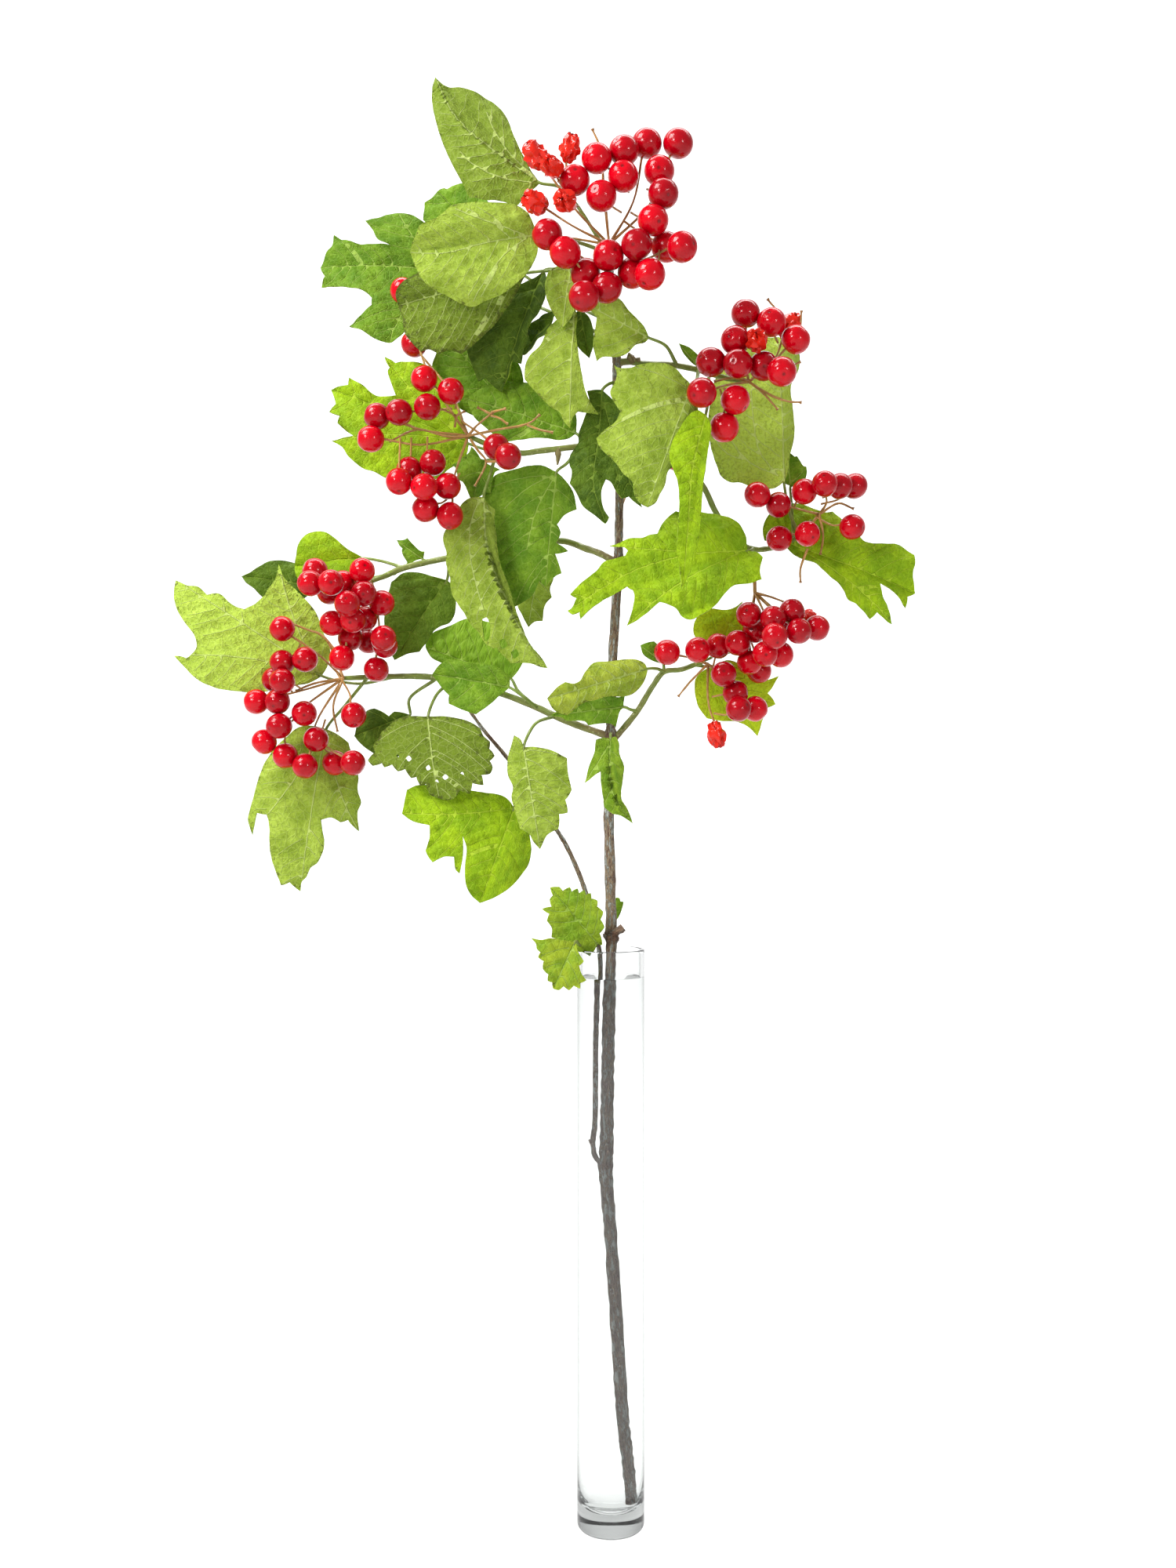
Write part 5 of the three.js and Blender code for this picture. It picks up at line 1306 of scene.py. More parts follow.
new_leaf("right_drooping", base=(993, 690, 17), tip=(1167, 757, 20), look="bright", bow=3, cup=2,
    shade=0.05, lobes=[(1136, 796, 18), (1060, 655, 22)], cuts=[(1120, 750), None],
    sides=[[(1011, 711), (1035, 722), (1051, 736), (1068, 752), (1078, 768), (1089, 773), (1098, 782),
        (1108, 791), (1116, 783), (1126, 790), (1137, 797), (1131, 780), (1122, 765), (1119, 747),
        (1132, 755), (1142, 762), (1152, 778), (1156, 762)],
        [(975, 690), (972, 675), (978, 660), (990, 650), (1000, 641), (1024, 646), (1046, 657), (1060, 655),
        (1078, 673), (1090, 686), (1100, 695), (1116, 698), (1143, 698), (1154, 705), (1163, 711),
        (1164, 722), (1161, 733)]],
    stalk=[(986, 694, 13), (984, 699, 8)])
new_leaf("under_berries", base=(908, 850, 16), tip=(966, 939, 22), look="bright", tint=0.3, shade=-0.8,
    lobes=[(896, 912, 20), (993, 863, 24)],
    sides=[[(895, 856), (886, 866), (884, 880), (889, 900), (900, 916), (918, 919), (936, 920), (952, 926)],
        [(925, 842), (945, 848), (960, 862), (975, 867), (991, 862), (983, 876), (977, 884), (987, 898),
        (974, 903), (970, 920)]],
    stalk=[(898, 850, 11), (886, 848, 5)])
new_leaf("behind_berries", base=(908, 838, 16), tip=(947, 767, 20), look="bright", tint=0.25, shade=-0.8,
    lobes=[(890, 786, 18), (958, 800, 20)],
    sides=[[(894, 824), (884, 809), (884, 797), (890, 786), (904, 778), (924, 780), (936, 776)],
        [(930, 835), (945, 815), (952, 795), (944, 780)]],
    stalk=[(888, 846, 11), (876, 852, 5)])
print("leaves so far:", len(LEAVES))

# %% [markdown]
# ## Leaves on the left
# The first two grow at a joint of the stem and beside it, the others on the left twigs.
# Many lie behind others, and their outlines are guessed where they don't show.

# %% Leaves at the joints and on the left
new_leaf("node_high", base=(826, 853, -6), tip=(698, 891, -14), cup=2, tint=0.25,
    lobes=[(730, 906, -10), (745, 850, -10)],
    sides=[[(820, 870), (808, 884), (795, 888), (772, 888), (760, 892), (743, 896), (733, 904), (724, 912),
        (710, 908), (703, 903)],
        [(819, 845), (803, 841), (777, 844), (756, 846), (744, 858), (738, 868), (730, 872), (719, 870),
        (708, 878)]],
    stalk=[(838, 853, -2), (847, 857, 3)])
new_leaf("node_hanging", base=(779, 942, -7), tip=(807, 1050, -12), look="green", tint=0.1,
    lobes=[(748, 997, -9), (790, 948, -10)], cuts=[(768, 990), None], rib=[(779, 978, -9), (783, 1012, -11)],
    sides=[[(769, 941), (761, 944), (759, 962), (752, 980), (747, 999), (758, 991), (768, 985), (769, 1004),
        (772, 1030), (782, 1038), (793, 1041)],
        [(786, 940), (790, 948), (791, 962), (797, 978), (795, 999), (794, 1020), (801, 1032)]],
    stalk=[(779, 937, -5), (779, 936, 2)])
new_leaf("yellow_tipped", base=(598, 566, 4), tip=(422, 497, 8), look="bright", bow=3, cup=2,
    lobes=[(426, 565, 5), (493, 459, 6)], cuts=[(452, 556), (503, 500)],
    sides=[[(594, 585), (575, 600), (550, 615), (520, 618), (495, 612), (480, 604), (463, 598), (446, 584),
        (438, 572), (424, 564), (441, 561), (453, 559), (443, 552), (433, 543), (436, 534), (422, 528),
        (430, 518), (427, 508)],
        [(590, 530), (570, 490), (545, 468), (515, 464), (506, 466), (492, 458), (499, 472), (497, 478),
        (503, 497), (508, 510), (493, 510), (478, 506), (466, 496), (447, 484), (446, 494), (435, 494)]],
    stalk=[(625, 575, 0), (642, 575, -12)])
new_leaf("bluish", base=(655, 530, 4), tip=(584, 445, 6), look="green",
    lobes=[(590, 506, 6), (655, 462, 3)],
    sides=[[(630, 538), (602, 530), (577, 514), (560, 492), (551, 468), (558, 448)],
        [(668, 505), (668, 480), (660, 462), (640, 446), (612, 436)]],
    stalk=[(643, 552, 4), (648, 574, -2), (664, 578, -11)])
new_leaf("mid_green", base=(735, 553, -4), tip=(595, 509, 0), look="green",
    lobes=[(640, 566, -2), (700, 495, 0)],
    sides=[[(722, 562), (690, 562), (660, 564), (640, 566), (620, 548), (606, 536)],
        [(735, 532), (722, 505), (700, 495), (680, 492), (650, 490), (625, 495), (608, 500)]],
    stalk=[(742, 560, -6), (748, 568, -7)])
new_leaf("big_drooping", base=(617, 634, -15), tip=(698, 852, -15), bow=4, cup=2, shade=0.15,
    lobes=[(584, 756, -8), (652, 690, -14)], rib=[(628, 712, -12), (657, 784, -13)],
    ribs=[[(612, 638), (604, 665), (603, 700), (612, 745), (622, 780)]],
    holes=[[(619, 790), (625, 788), (629, 800), (628, 815), (622, 818), (620, 804)], [(640, 818), (647, 815),
        (650, 823), (643, 827)], [(655, 832), (661, 828), (664, 835), (658, 840)], [(632, 828), (637, 826),
        (638, 833), (633, 834)]],
    sides=[[(599, 636), (590, 645), (583, 660), (571, 676), (568, 690), (572, 704), (571, 720), (577, 737),
        (579, 757), (590, 775), (597, 784), (604, 797), (613, 806), (622, 820), (640, 832), (654, 846),
        (678, 846), (690, 851)],
        [(633, 650), (634, 675), (636, 691), (642, 718), (651, 741), (658, 768), (667, 793), (674, 812),
        (681, 825), (690, 836)]],
    stalk=[(625, 606, -14), (634, 573, -13)])
new_leaf("second_hanging", base=(710, 602, -7), tip=(696, 748, -6), look="green", shade=0.15,
    lobes=[(626, 632, -4), (735, 652, -6)],
    ribs=[[(706, 606), (672, 625), (642, 652)], [(707, 608), (684, 655), (672, 705)]],
    sides=[[(690, 594), (655, 600), (632, 607), (616, 627), (618, 660), (626, 700), (640, 740), (656, 775),
        (674, 764), (681, 757), (688, 741)],
        [(719, 611), (731, 628), (736, 651), (722, 658), (711, 670), (716, 681), (710, 694), (725, 704),
        (709, 708), (713, 719), (717, 732), (708, 736)]],
    stalk=[(724, 590, -8), (738, 571, -8)])
new_leaf("third_hanging", base=(690, 712, 11), tip=(674, 800, 13), bow=1,
    lobes=[(668, 735, 13), (704, 768, 12)],
    sides=[[(675, 725), (664, 745), (660, 770), (667, 785)],
        [(700, 722), (706, 738), (702, 752), (704, 762), (695, 773), (692, 792), (682, 793)]],
    stalk=[(700, 702, 9), (706, 692, 6)])
new_leaf("dark_shaded", base=(570, 740, 18), tip=(503, 842, 22), look="dark", shade=-0.5, cup=2,
    lobes=[(507, 738, 22), (588, 782, 19)],
    sides=[[(554, 736), (535, 731), (517, 732), (501, 743), (495, 770), (493, 800), (497, 825)],
        [(576, 745), (583, 762), (582, 782), (576, 795), (565, 800), (556, 806), (549, 818), (538, 832),
        (520, 835)]],
    stalk=[(572, 730, 16), (572, 713, 12)])
new_leaf("under_drooping", base=(652, 866, 16), tip=(543, 826, 20), look="green", shade=-0.3,
    lobes=[(600, 864, 17), (655, 800, 17)],
    sides=[[(630, 872), (600, 864), (567, 848), (552, 840)],
        [(668, 845), (664, 820), (650, 800), (625, 795), (600, 790), (575, 800), (556, 806), (545, 815)]],
    stalk=[(660, 880, 13), (678, 897, 7)])
new_leaf("over_twig", base=(650, 877, 4), tip=(551, 860, 6), look="green",
    lobes=[(606, 912, 3), (640, 850, 4)],
    sides=[[(640, 886), (635, 890), (624, 901), (608, 912), (590, 906), (573, 898), (574, 888), (566, 880)],
        [(650, 862), (630, 850), (613, 847), (588, 845), (570, 842), (558, 852)]],
    stalk=[(664, 886, 3), (684, 902, 5)])
new_leaf("left_bright", base=(464, 712, 19), tip=(377, 722, 24), look="bright", cup=2,
    lobes=[(420, 756, 20), (405, 678, 22)],
    sides=[[(460, 730), (445, 745), (420, 756), (395, 750), (382, 738)],
        [(455, 707), (446, 702), (432, 690), (419, 681), (404, 680), (389, 688), (382, 703)]],
    stalk=[(488, 716, 16), (514, 724, 11)])
new_leaf("left_dark", base=(404, 748, 34), tip=(308, 735, 38), look="dark", bow=1, shade=-0.3,
    lobes=[(352, 770, 36), (390, 722, 36)],
    sides=[[(392, 762), (375, 772), (350, 770), (336, 762), (326, 752), (315, 744)],
        [(395, 728), (373, 718), (346, 717), (323, 730)]],
    stalk=[(452, 742, 28), (504, 731, 11)])
new_leaf("big_pale", base=(410, 862, 21), tip=(224, 740, 26), bow=4, cup=2, shade=-0.6,
    lobes=[(226, 839, 22), (358, 723, 28)], cuts=[(254, 820), (318, 779)],
    sides=[[(395, 872), (370, 878), (345, 884), (320, 885), (290, 882), (271, 877), (252, 867), (237, 852),
        (224, 838), (240, 842), (250, 836), (254, 826), (251, 813), (240, 799), (229, 782), (223, 761)],
        [(420, 845), (422, 830), (412, 805), (405, 785), (398, 775), (382, 758), (365, 741), (357, 722),
        (355, 740), (350, 750), (343, 760), (329, 774), (315, 781), (298, 774), (282, 760), (265, 760),
        (254, 750), (240, 748)]],
    stalk=[(456, 872, 19), (500, 864, 13)])
print("leaves so far:", len(LEAVES))

# %% [markdown]
# ## Leaves low on the branch
# The olive one is the most damaged. The last piece is the small leaves at the vase's rim.

# %% Low leaves
new_leaf("lower_left", base=(416, 930, 23), tip=(383, 1137, 21), bow=3, cup=2, shade=-0.1,
    lobes=[(323, 1063, 25), (458, 1059, 23)], cuts=[(342, 1038), (413, 1046)],
    sides=[[(400, 926), (382, 928), (365, 942), (348, 960), (337, 977), (329, 1002), (322, 1027),
        (318, 1045), (324, 1065), (327, 1049), (330, 1037), (343, 1039), (346, 1054), (347, 1077),
        (349, 1095), (352, 1107), (360, 1129), (371, 1125)],
        [(446, 948), (452, 968), (459, 993), (458, 1007), (462, 1024), (457, 1038), (459, 1060), (446, 1046),
        (437, 1049), (426, 1043), (412, 1046), (413, 1055), (416, 1077), (408, 1099), (397, 1107),
        (391, 1119), (385, 1125)]],
    stalk=[(440, 900, 20), (470, 863, 13)])
new_leaf("olive_damaged", base=(546, 914, 0), tip=(560, 1018, -5), bow=3, cup=2, shade=0.9, spot=0.05,
    lobes=[(488, 968, 1), (630, 965, -4)],
    holes=[[(521, 969), (525, 966), (528, 970), (524, 973)], [(545, 980), (549, 977), (551, 982),
        (547, 984)], [(566, 992), (570, 989), (574, 993), (569, 996)], [(508, 966), (511, 964), (512, 968)],
        [(556, 997), (559, 995), (561, 999)], [(589, 988), (592, 986), (594, 990)]],
    sides=[[(525, 914), (505, 920), (497, 928), (487, 935), (484, 944), (477, 952), (480, 960), (470, 970),
        (476, 977), (489, 974), (493, 980), (503, 977), (511, 986), (520, 983), (527, 994), (533, 992),
        (538, 1003), (545, 1001), (549, 1014)],
        [(577, 916), (598, 921), (614, 931), (618, 940), (626, 947), (625, 956), (632, 965), (626, 972),
        (630, 980), (626, 988), (616, 990), (618, 1002), (604, 1000), (600, 1013), (588, 1009),
        (578, 1020)]],
    stalk=[(557, 886, 4), (578, 868, 12)])
new_leaf("behind_olive", base=(523, 912, 14), tip=(452, 939, 18), look="dark", bow=1,
    lobes=[(498, 974, 15), (478, 903, 17)],
    sides=[[(528, 935), (520, 955), (498, 974), (480, 962), (465, 952)],
        [(505, 908), (498, 914), (479, 904), (469, 907), (460, 922)]],
    stalk=[(522, 892, 15), (556, 866, 13)])
new_leaf("small_underside", base=(668, 953, -9), tip=(689, 1083, -8),
    lobes=[(648, 985, -6), (723, 970, -6)],
    sides=[[(664, 943), (656, 938), (652, 952), (648, 967), (648, 988), (655, 1004), (653, 1016),
        (656, 1030), (664, 1057), (675, 1063), (681, 1074)],
        [(682, 953), (703, 957), (723, 967), (724, 983), (729, 1007), (721, 1020), (724, 1036), (713, 1038),
        (712, 1057), (698, 1065)]],
    stalk=[(682, 924, -6), (706, 914, 4)])
new_leaf("bright_lower", base=(656, 1030, 3), tip=(612, 1152, -3), look="bright", bow=3, cup=2,
    lobes=[(514, 1038, 0), (672, 1102, 2)], cuts=[(590, 1072), None],
    sides=[[(648, 1020), (640, 1015), (620, 1012), (598, 1009), (565, 1005), (535, 1002), (519, 1008),
        (516, 1025), (513, 1039), (527, 1049), (548, 1054), (548, 1070), (543, 1086), (552, 1101),
        (566, 1094), (579, 1094), (581, 1110), (586, 1115), (590, 1068), (595, 1083), (593, 1104),
        (594, 1128), (600, 1141)],
        [(664, 1040), (672, 1055), (675, 1068), (677, 1085), (673, 1104), (664, 1117), (650, 1133),
        (629, 1146)]],
    stalk=[(664, 1014, 8), (672, 1004, 13)])
new_leaf("rim", base=(762, 1204, -4), tip=(702, 1132, -6), look="green", bow=1, tint=0.2, shade=-0.45,
    lobes=[(703, 1192, -8), (752, 1143, -6)],
    sides=[[(753, 1219), (744, 1214), (737, 1213), (727, 1205), (717, 1200), (703, 1195), (703, 1183),
        (697, 1174), (700, 1165), (691, 1159), (703, 1156), (701, 1147), (705, 1142)],
        [(768, 1205), (764, 1190), (770, 1182), (765, 1172), (769, 1163), (761, 1156), (762, 1149),
        (754, 1146), (753, 1139), (747, 1141), (745, 1135), (738, 1139), (736, 1133), (728, 1137),
        (726, 1131), (717, 1136), (713, 1131)]],
    stalk=[(765, 1198, -3), (765, 1200, 0.5)],
    parts=[
        dict(base=(734, 1201, -16), tip=(706, 1261, -18), bow=1, cup=1, tint=0.3, shade=-0.45,
            lobes=[(682, 1198, -16), (745, 1254, -19)],
            sides=[[(722, 1200), (703, 1197), (692, 1199), (678, 1197), (684, 1204), (685, 1210),
                (690, 1215), (687, 1221), (694, 1226), (693, 1236), (700, 1243), (699, 1251), (705, 1253)],
                [(738, 1215), (745, 1226), (739, 1232), (742, 1242), (748, 1250), (740, 1254), (740, 1261),
                (732, 1257), (726, 1263), (719, 1258), (713, 1263)]],
            stalk=[(742, 1207, -6), (752, 1206, -1)]),
        dict(base=(785, 1176, 6), tip=(786, 1145, 8), bow=0, cup=0, lobes=[(780, 1160, 7), (795, 1156, 8)],
            sides=[[(781, 1168), (780, 1155)],
                [(790, 1168), (793, 1160), (795, 1151), (791, 1150), (790, 1146)]],
            stalk=[(783, 1184, 4), (780, 1189, 2)]),
    ])
print("leaves in all:", len(LEAVES))

# %% [markdown]
# ## Dressing the leaves
# A leaf that shows its underside is green on its far side, and the other way round, so a
# blade gets two finishes, and its stalk a third.

# %% Make the leaves
PART_SEEDS = 100


def finishes_of(look):
    other = "green" if look == "under" else "under"
    return [leaf_looks[look], leaf_looks[other], green_skin]


for number, (name, leaf) in enumerate(LEAVES.items()):
    book = Notebook()
    add_leaf(book, leaf, number)
    for order, part in enumerate(leaf.get("parts", [])):
        add_leaf(book, part, number + PART_SEEDS + order)
    book.make(name + "_blade", [name], "leaf_" + leaf["look"], finishes_of(leaf["look"]))
print("leaves:", len(LEAVES), "triangles so far:", triangle_total)

# %% [markdown]
# ## Small leaves of the twigs
# Small leaves that grow straight from a twig are part of the twig's piece.

# %% Small leaves
SMALL_LEAVES = {
    "twig_right_low": [
        dict(base=(846, 847, 3), tip=(817, 823, 1), bow=1, cup=0, lobes=[(820, 834, 2), (834, 818, 2)],
            sides=[[(830, 842), (820, 834)], [(843, 828), (834, 818)]], stalk=[(847, 857, 3)]),
        dict(base=(797, 902, -3), tip=(702, 913, -5), bow=1, cup=1, lobes=[(785, 928, -4), (760, 885, -3)],
            notched=True, sides=[[(785, 928), (750, 926), (720, 920)], [(797, 886), (760, 885), (728, 896)]],
            stalk=[(804, 905, -2), (813, 907, 1)]),
    ],
    "twig_left_mid": [
        dict(base=(540, 714, 17), tip=(506, 689, 20), bow=1, cup=0, lobes=[(519, 722, 18), (521, 687, 18)],
            notched=True, sides=[[(519, 722), (514, 704)], [(542, 704), (521, 687)]],
            stalk=[(546, 716, 15), (552, 715, 12)]),
    ],
    "twig_right_high": [
        dict(base=(890, 468, -10), tip=(866, 438, -12), bow=1, cup=0,
            lobes=[(872, 451, -11), (895, 457, -11)],
            sides=[[(884, 464), (872, 451)], [(895, 457), (879, 443)]], stalk=[(892, 472, -10)]),
    ],
    "twig_right_mid": [
        dict(base=(1008, 624, 13), tip=(1004, 577, 14), bow=1, cup=0, lobes=[(987, 590, 13), (1029, 616, 14)],
            notched=True, sides=[[(992, 612), (987, 590)], [(1029, 616), (1027, 597), (1016, 583)]],
            stalk=[(1010, 650, 13), (1012, 688, 10)]),
    ],
    "twig_left_high": [
        dict(base=(620, 588, -4), tip=(602, 640, -5), bow=1, cup=1, lobes=[(577, 594, -3), (638, 600, -5)],
            notched=True, sides=[[(602, 571), (577, 594), (586, 614)], [(638, 600), (626, 630)]],
            stalk=[(640, 584, -8), (652, 578, -12)]),
    ],
}

# %% [markdown]
# ## The side twigs
# Twigs grow in pairs from the joints of the stem. They are green where they are young and
# brown near the stem, and a short blunt tube stands for a bud or a broken twig.

# %% Make the twigs
TWIGS = {
    "twig_left_low": dict(
        line=[(773, 938, 2), (745, 928, 3), (721, 919, 4), (670, 896, 7), (619, 878, 10),
            (578, 868, 12), (542, 863, 13), (496, 863, 13), (438, 865, 11)],
        radii=(1.5, 1.5, 1.3, 1.3, 1),
    ),
    "twig_left_mid": dict(
        line=[(784, 716, -1), (765, 706, 0), (748, 700, 2), (717, 690, 5), (650, 698, 9),
            (570, 712, 12), (513, 725, 11), (490, 735, 9), (474, 741, 8)],
        radii=(1.4, 1.4, 1.2, 1.3, 1),
    ),
    "twig_left_high": dict(
        line=[(784, 560, -6), (758, 567, -7), (734, 570, -8), (690, 575, -10), (663, 578, -12),
            (630, 570, -13), (597, 556, -15)],
        radii=(1.3, 1.2, 1),
    ),
    "twig_right_high": dict(
        line=[(791, 462, -13), (805, 461, -13), (818, 464, -13), (860, 466, -11), (891, 472, -10),
            (925, 482, -11), (948, 486, -12)],
        radii=(1.6, 1.3, 1.2, 1),
    ),
    "twig_right_mid": dict(
        line=[(790, 520, -8), (812, 535, -4), (850, 565, 0), (896, 619, 2), (914, 655, 3),
            (940, 690, 4), (958, 700, 5), (984, 699, 8), (1012, 688, 10), (1036, 664, 10)],
        radii=(1.4, 1.2, 1.2, 1),
    ),
    "twig_right_low": dict(
        line=[(782, 944, 2), (790, 935, 1), (813, 907, 1), (832, 876, 2), (847, 857, 3),
            (869, 854, 4), (886, 848, 5), (896, 846, 5)],
        radii=(1.4, 1.2, 1.1, 0.9),
    ),
}
BUDS = {
    "twig_left_high": [([(711, 571, -9), (712, 580, -9), (711, 593, -9)], 1.2)],
    "twig_right_high": [
        ([(808, 462, -13), (804, 456, -14), (802, 450, -15)], 1.8),
        ([(812, 462, -13), (816, 456, -14)], 1.4),
    ],
}
BUD_TIP = 0.3
TWIG_AGE = (0.7, 0.05)
BUD_AGE = (0.9, 0.9)
SMALL_LEAF_SEEDS = 200

for number, (name, twig) in enumerate(TWIGS.items()):
    book = Notebook()
    line = [seen(spot) for spot in twig["line"]]
    book.add_tube(line, twig["radii"], STALK, TWIG_AGE, sides=10, steps=8, wobble=0.04, seed=number)
    for line, radius in BUDS.get(name, []):
        line, radii = [seen(spot) for spot in line], [radius, radius, BUD_TIP]
        book.add_tube(line, radii, STALK, BUD_AGE, sides=8, steps=5, wobble=0.1, seed=number)
    for order, leaf in enumerate(SMALL_LEAVES.get(name, [])):
        add_leaf(book, leaf, SMALL_LEAF_SEEDS + 10 * number + order)
    book.make(name + "_skin", [name], "twig", [leaf_looks["green"], leaf_looks["under"], green_skin])
print("twigs:", len(TWIGS), "triangles so far:", triangle_total)

# %% [markdown]
# ## Bunches of berries
# A bunch is a flat spray of thin rays from its hub, each ending in a berry. The berries come
# first, where the camera sees them, and those at the edge of a bunch lie deeper. A berry that
# would run into an earlier one moves forward or back until it is free.

# %% Place the berries
BERRY_RADIUS = 5.3
TOP_BERRY_RADIUS = 5.9
BERRY_SPACING = 0.985
SHRIVELLED_SIZE = 0.86
EDGE_DROP = 0.6
DEPTH_STEP = 0.5


def is_free(centre, radius, placed):
    return all(np.linalg.norm(centre - other) > BERRY_SPACING * (radius + size) for other, size, _ in placed)


def place_berries(bunch):
    """Each berry's centre, its radius and whether it is shrivelled."""
    hub = bunch["hub"]
    spots = [(spot, 1) for spot in bunch["berries"]]
    spots += [(spot, SHRIVELLED_SIZE) for spot in bunch.get("shrivelled", [])]
    away = [math.hypot(spot[0] - hub[0], spot[1] - hub[1]) for spot, size in spots]
    reach = max(away)
    placed = []
    for (spot, size), far in zip(spots, away):
        radius = bunch["radius"] * size
        wanted = spot[2] if len(spot) > 2 else hub[2] + bunch["front"] * (1 - EDGE_DROP * (far / reach) ** 2)
        shift = 0
        centre = seen((spot[0], spot[1], wanted))
        while not is_free(centre, radius, placed):
            shift = -shift if shift < 0 else -shift - DEPTH_STEP
            centre = seen((spot[0], spot[1], wanted + shift))
        placed.append((centre, radius, size < 1))
    return placed


# %% [markdown]
# ## One berry
# A berry is nearly a ball, with a dimple at its stalk and another at the flower's scar. A
# shrivelled one is longer, narrower and folded, and one that a bird opened is a shell with a
# ragged mouth. All are built ring by ring around an axis from the stalk to the scar.

# %% Berry shapes
BERRY_RINGS = 14
BERRY_SIDES = 20
SCAR_DIMPLE, SCAR_DIMPLE_WIDTH = 0.1, 0.22
STALK_DIMPLE, STALK_DIMPLE_WIDTH = 0.06, 0.3
SCAR_WIDTH = 0.2
LENGTHS = (0.98, 1.06)
SHRIVELLED_LENGTHS = (1.1, 1.4)
SHRIVELLED_WIDTHS = (0.85, 1.05)
CRUMPLE = 0.42
SHELL = 0.82
MOUTH = 0.75


def berry_faces(rings):
    return [(a, d, c, b) for a, b, c, d in ring_faces(rings, BERRY_SIDES)]


def fold_of(turn, around, wrinkle):
    """How deep a shrivelled skin is folded in, from 0 to about 1."""
    fold = math.sin(3 * around + wrinkle[0] + turn) * math.sin(2.5 * turn + wrinkle[1])
    fold += 0.6 * math.sin(5 * around + wrinkle[2] + 2 * turn) * math.sin(4 * turn)
    fold += 0.3 * math.sin(7 * around + wrinkle[3] - 3 * turn)
    return abs(fold)


def add_berry(book, centre, radius, axis, shrivelled, chance):
    """A berry around its axis, which points from the stalk to the scar of the flower."""
    axis = unit(axis)
    sideways = unit(np.cross(axis, [0.3, 0.2, 1.0]))
    upward = np.cross(axis, sideways)
    wrinkle = [chance.uniform(0, 6.28) for _ in range(4)]
    long, wide = chance.uniform(*LENGTHS), 1.0
    if shrivelled:
        long, wide = chance.uniform(*SHRIVELLED_LENGTHS), chance.uniform(*SHRIVELLED_WIDTHS)
    points, scar = [], []
    for ring in range(BERRY_RINGS + 1):
        turn = math.pi * ring / BERRY_RINGS
        dimple = SCAR_DIMPLE * math.exp(-((math.pi - turn) / SCAR_DIMPLE_WIDTH) ** 2)
        dimple += STALK_DIMPLE * math.exp(-(turn / STALK_DIMPLE_WIDTH) ** 2)
        for side in range(BERRY_SIDES):
            around = 2 * math.pi * side / BERRY_SIDES
            reach = radius * (1 - dimple)
            if shrivelled:
                reach *= 1 - CRUMPLE * fold_of(turn, around, wrinkle)
            across = wide * reach * math.sin(turn)
            point = centre - axis * reach * long * math.cos(turn)
            points.append(point + across * (sideways * math.cos(around) + upward * math.sin(around)))
            scar.append(math.exp(-((math.pi - turn) / SCAR_WIDTH) ** 2))
    # for a berry the "shade" value carries how shrivelled it is
    shade = 0.8 if shrivelled else 0.0
    book.add(points, berry_faces(BERRY_RINGS), spot=scar, tint=chance.uniform(0, 0.8), shade=shade)


def add_torn_berry(book, centre, radius):
    """A berry that a bird has opened: a shell with a ragged opening at its top."""
    points = []
    shares = np.linspace(0, 1, BERRY_RINGS + 1)
    for reach, steps in ((radius, shares), (radius * SHELL, shares[::-1])):
        for share in steps:
            for side in range(BERRY_SIDES):
                around = 2 * math.pi * side / BERRY_SIDES
                mouth = MOUTH + 0.3 * math.sin(around) + 0.25 * math.sin(2 * around + 1)
                mouth += 0.12 * math.sin(5 * around)
                down = math.pi - share * (math.pi - mouth)
                across = reach * math.sin(down)
                spot = [across * math.cos(around), across * math.sin(around), reach * math.cos(down)]
                points.append(centre + np.array(spot))
    book.add(points, berry_faces(2 * BERRY_RINGS + 1), tint=0.2)


# %% [markdown]
# ## Rays
# The berries are dealt out to the rays by their direction from the hub. A ray runs to the
# farthest berry of its group, and the others branch off along it, each bowed a little and
# sagging. A bare ray has lost its berry and ends in a small knob.

# %% Rays of a bunch
RAY_FORKS = (0.25, 0.7)
LEAST_FORK = 0.1
RAY_RADIUS = 0.5
MAIN_RAY, SIDE_RAY = 1.25, 0.9
RAY_BOW = 0.1
RAY_SAG = 0.05
RAY_END = 0.85
KNOB_LENGTH = 1.1
KNOB_RADIUS = 0.75
BARE_RADII = (0.55, 0.4)
STALK_OF_BUNCH = [0.8, 0.8, 0.9]


def bunch_rays(hub, berries, count):
    """Each ray's fork, the number of its berry and its share of the usual width."""
    turn_of = [math.atan2(centre[2] - hub[2], centre[0] - hub[0]) for centre, _, _ in berries]
    far_of = [np.linalg.norm(centre - hub) for centre, _, _ in berries]
    order = sorted(range(len(berries)), key=lambda index: turn_of[index])
    per_ray = math.ceil(len(order) / count)
    rays = []
    for first in range(0, len(order), per_ray):
        group = sorted(order[first:first + per_ray], key=lambda index: -far_of[index])
        farthest = berries[group[0]][0]
        rays.append((hub, group[0], MAIN_RAY))
        for rank, index in enumerate(group[1:]):
            share = RAY_FORKS[1] - (RAY_FORKS[1] - RAY_FORKS[0]) * rank / len(group)
            along = (berries[index][0] - hub).dot(farthest - hub) / np.linalg.norm(farthest - hub) ** 2
            fork = hub + (farthest - hub) * min(share, max(along, LEAST_FORK))
            rays.append((fork, index, SIDE_RAY))
    return rays


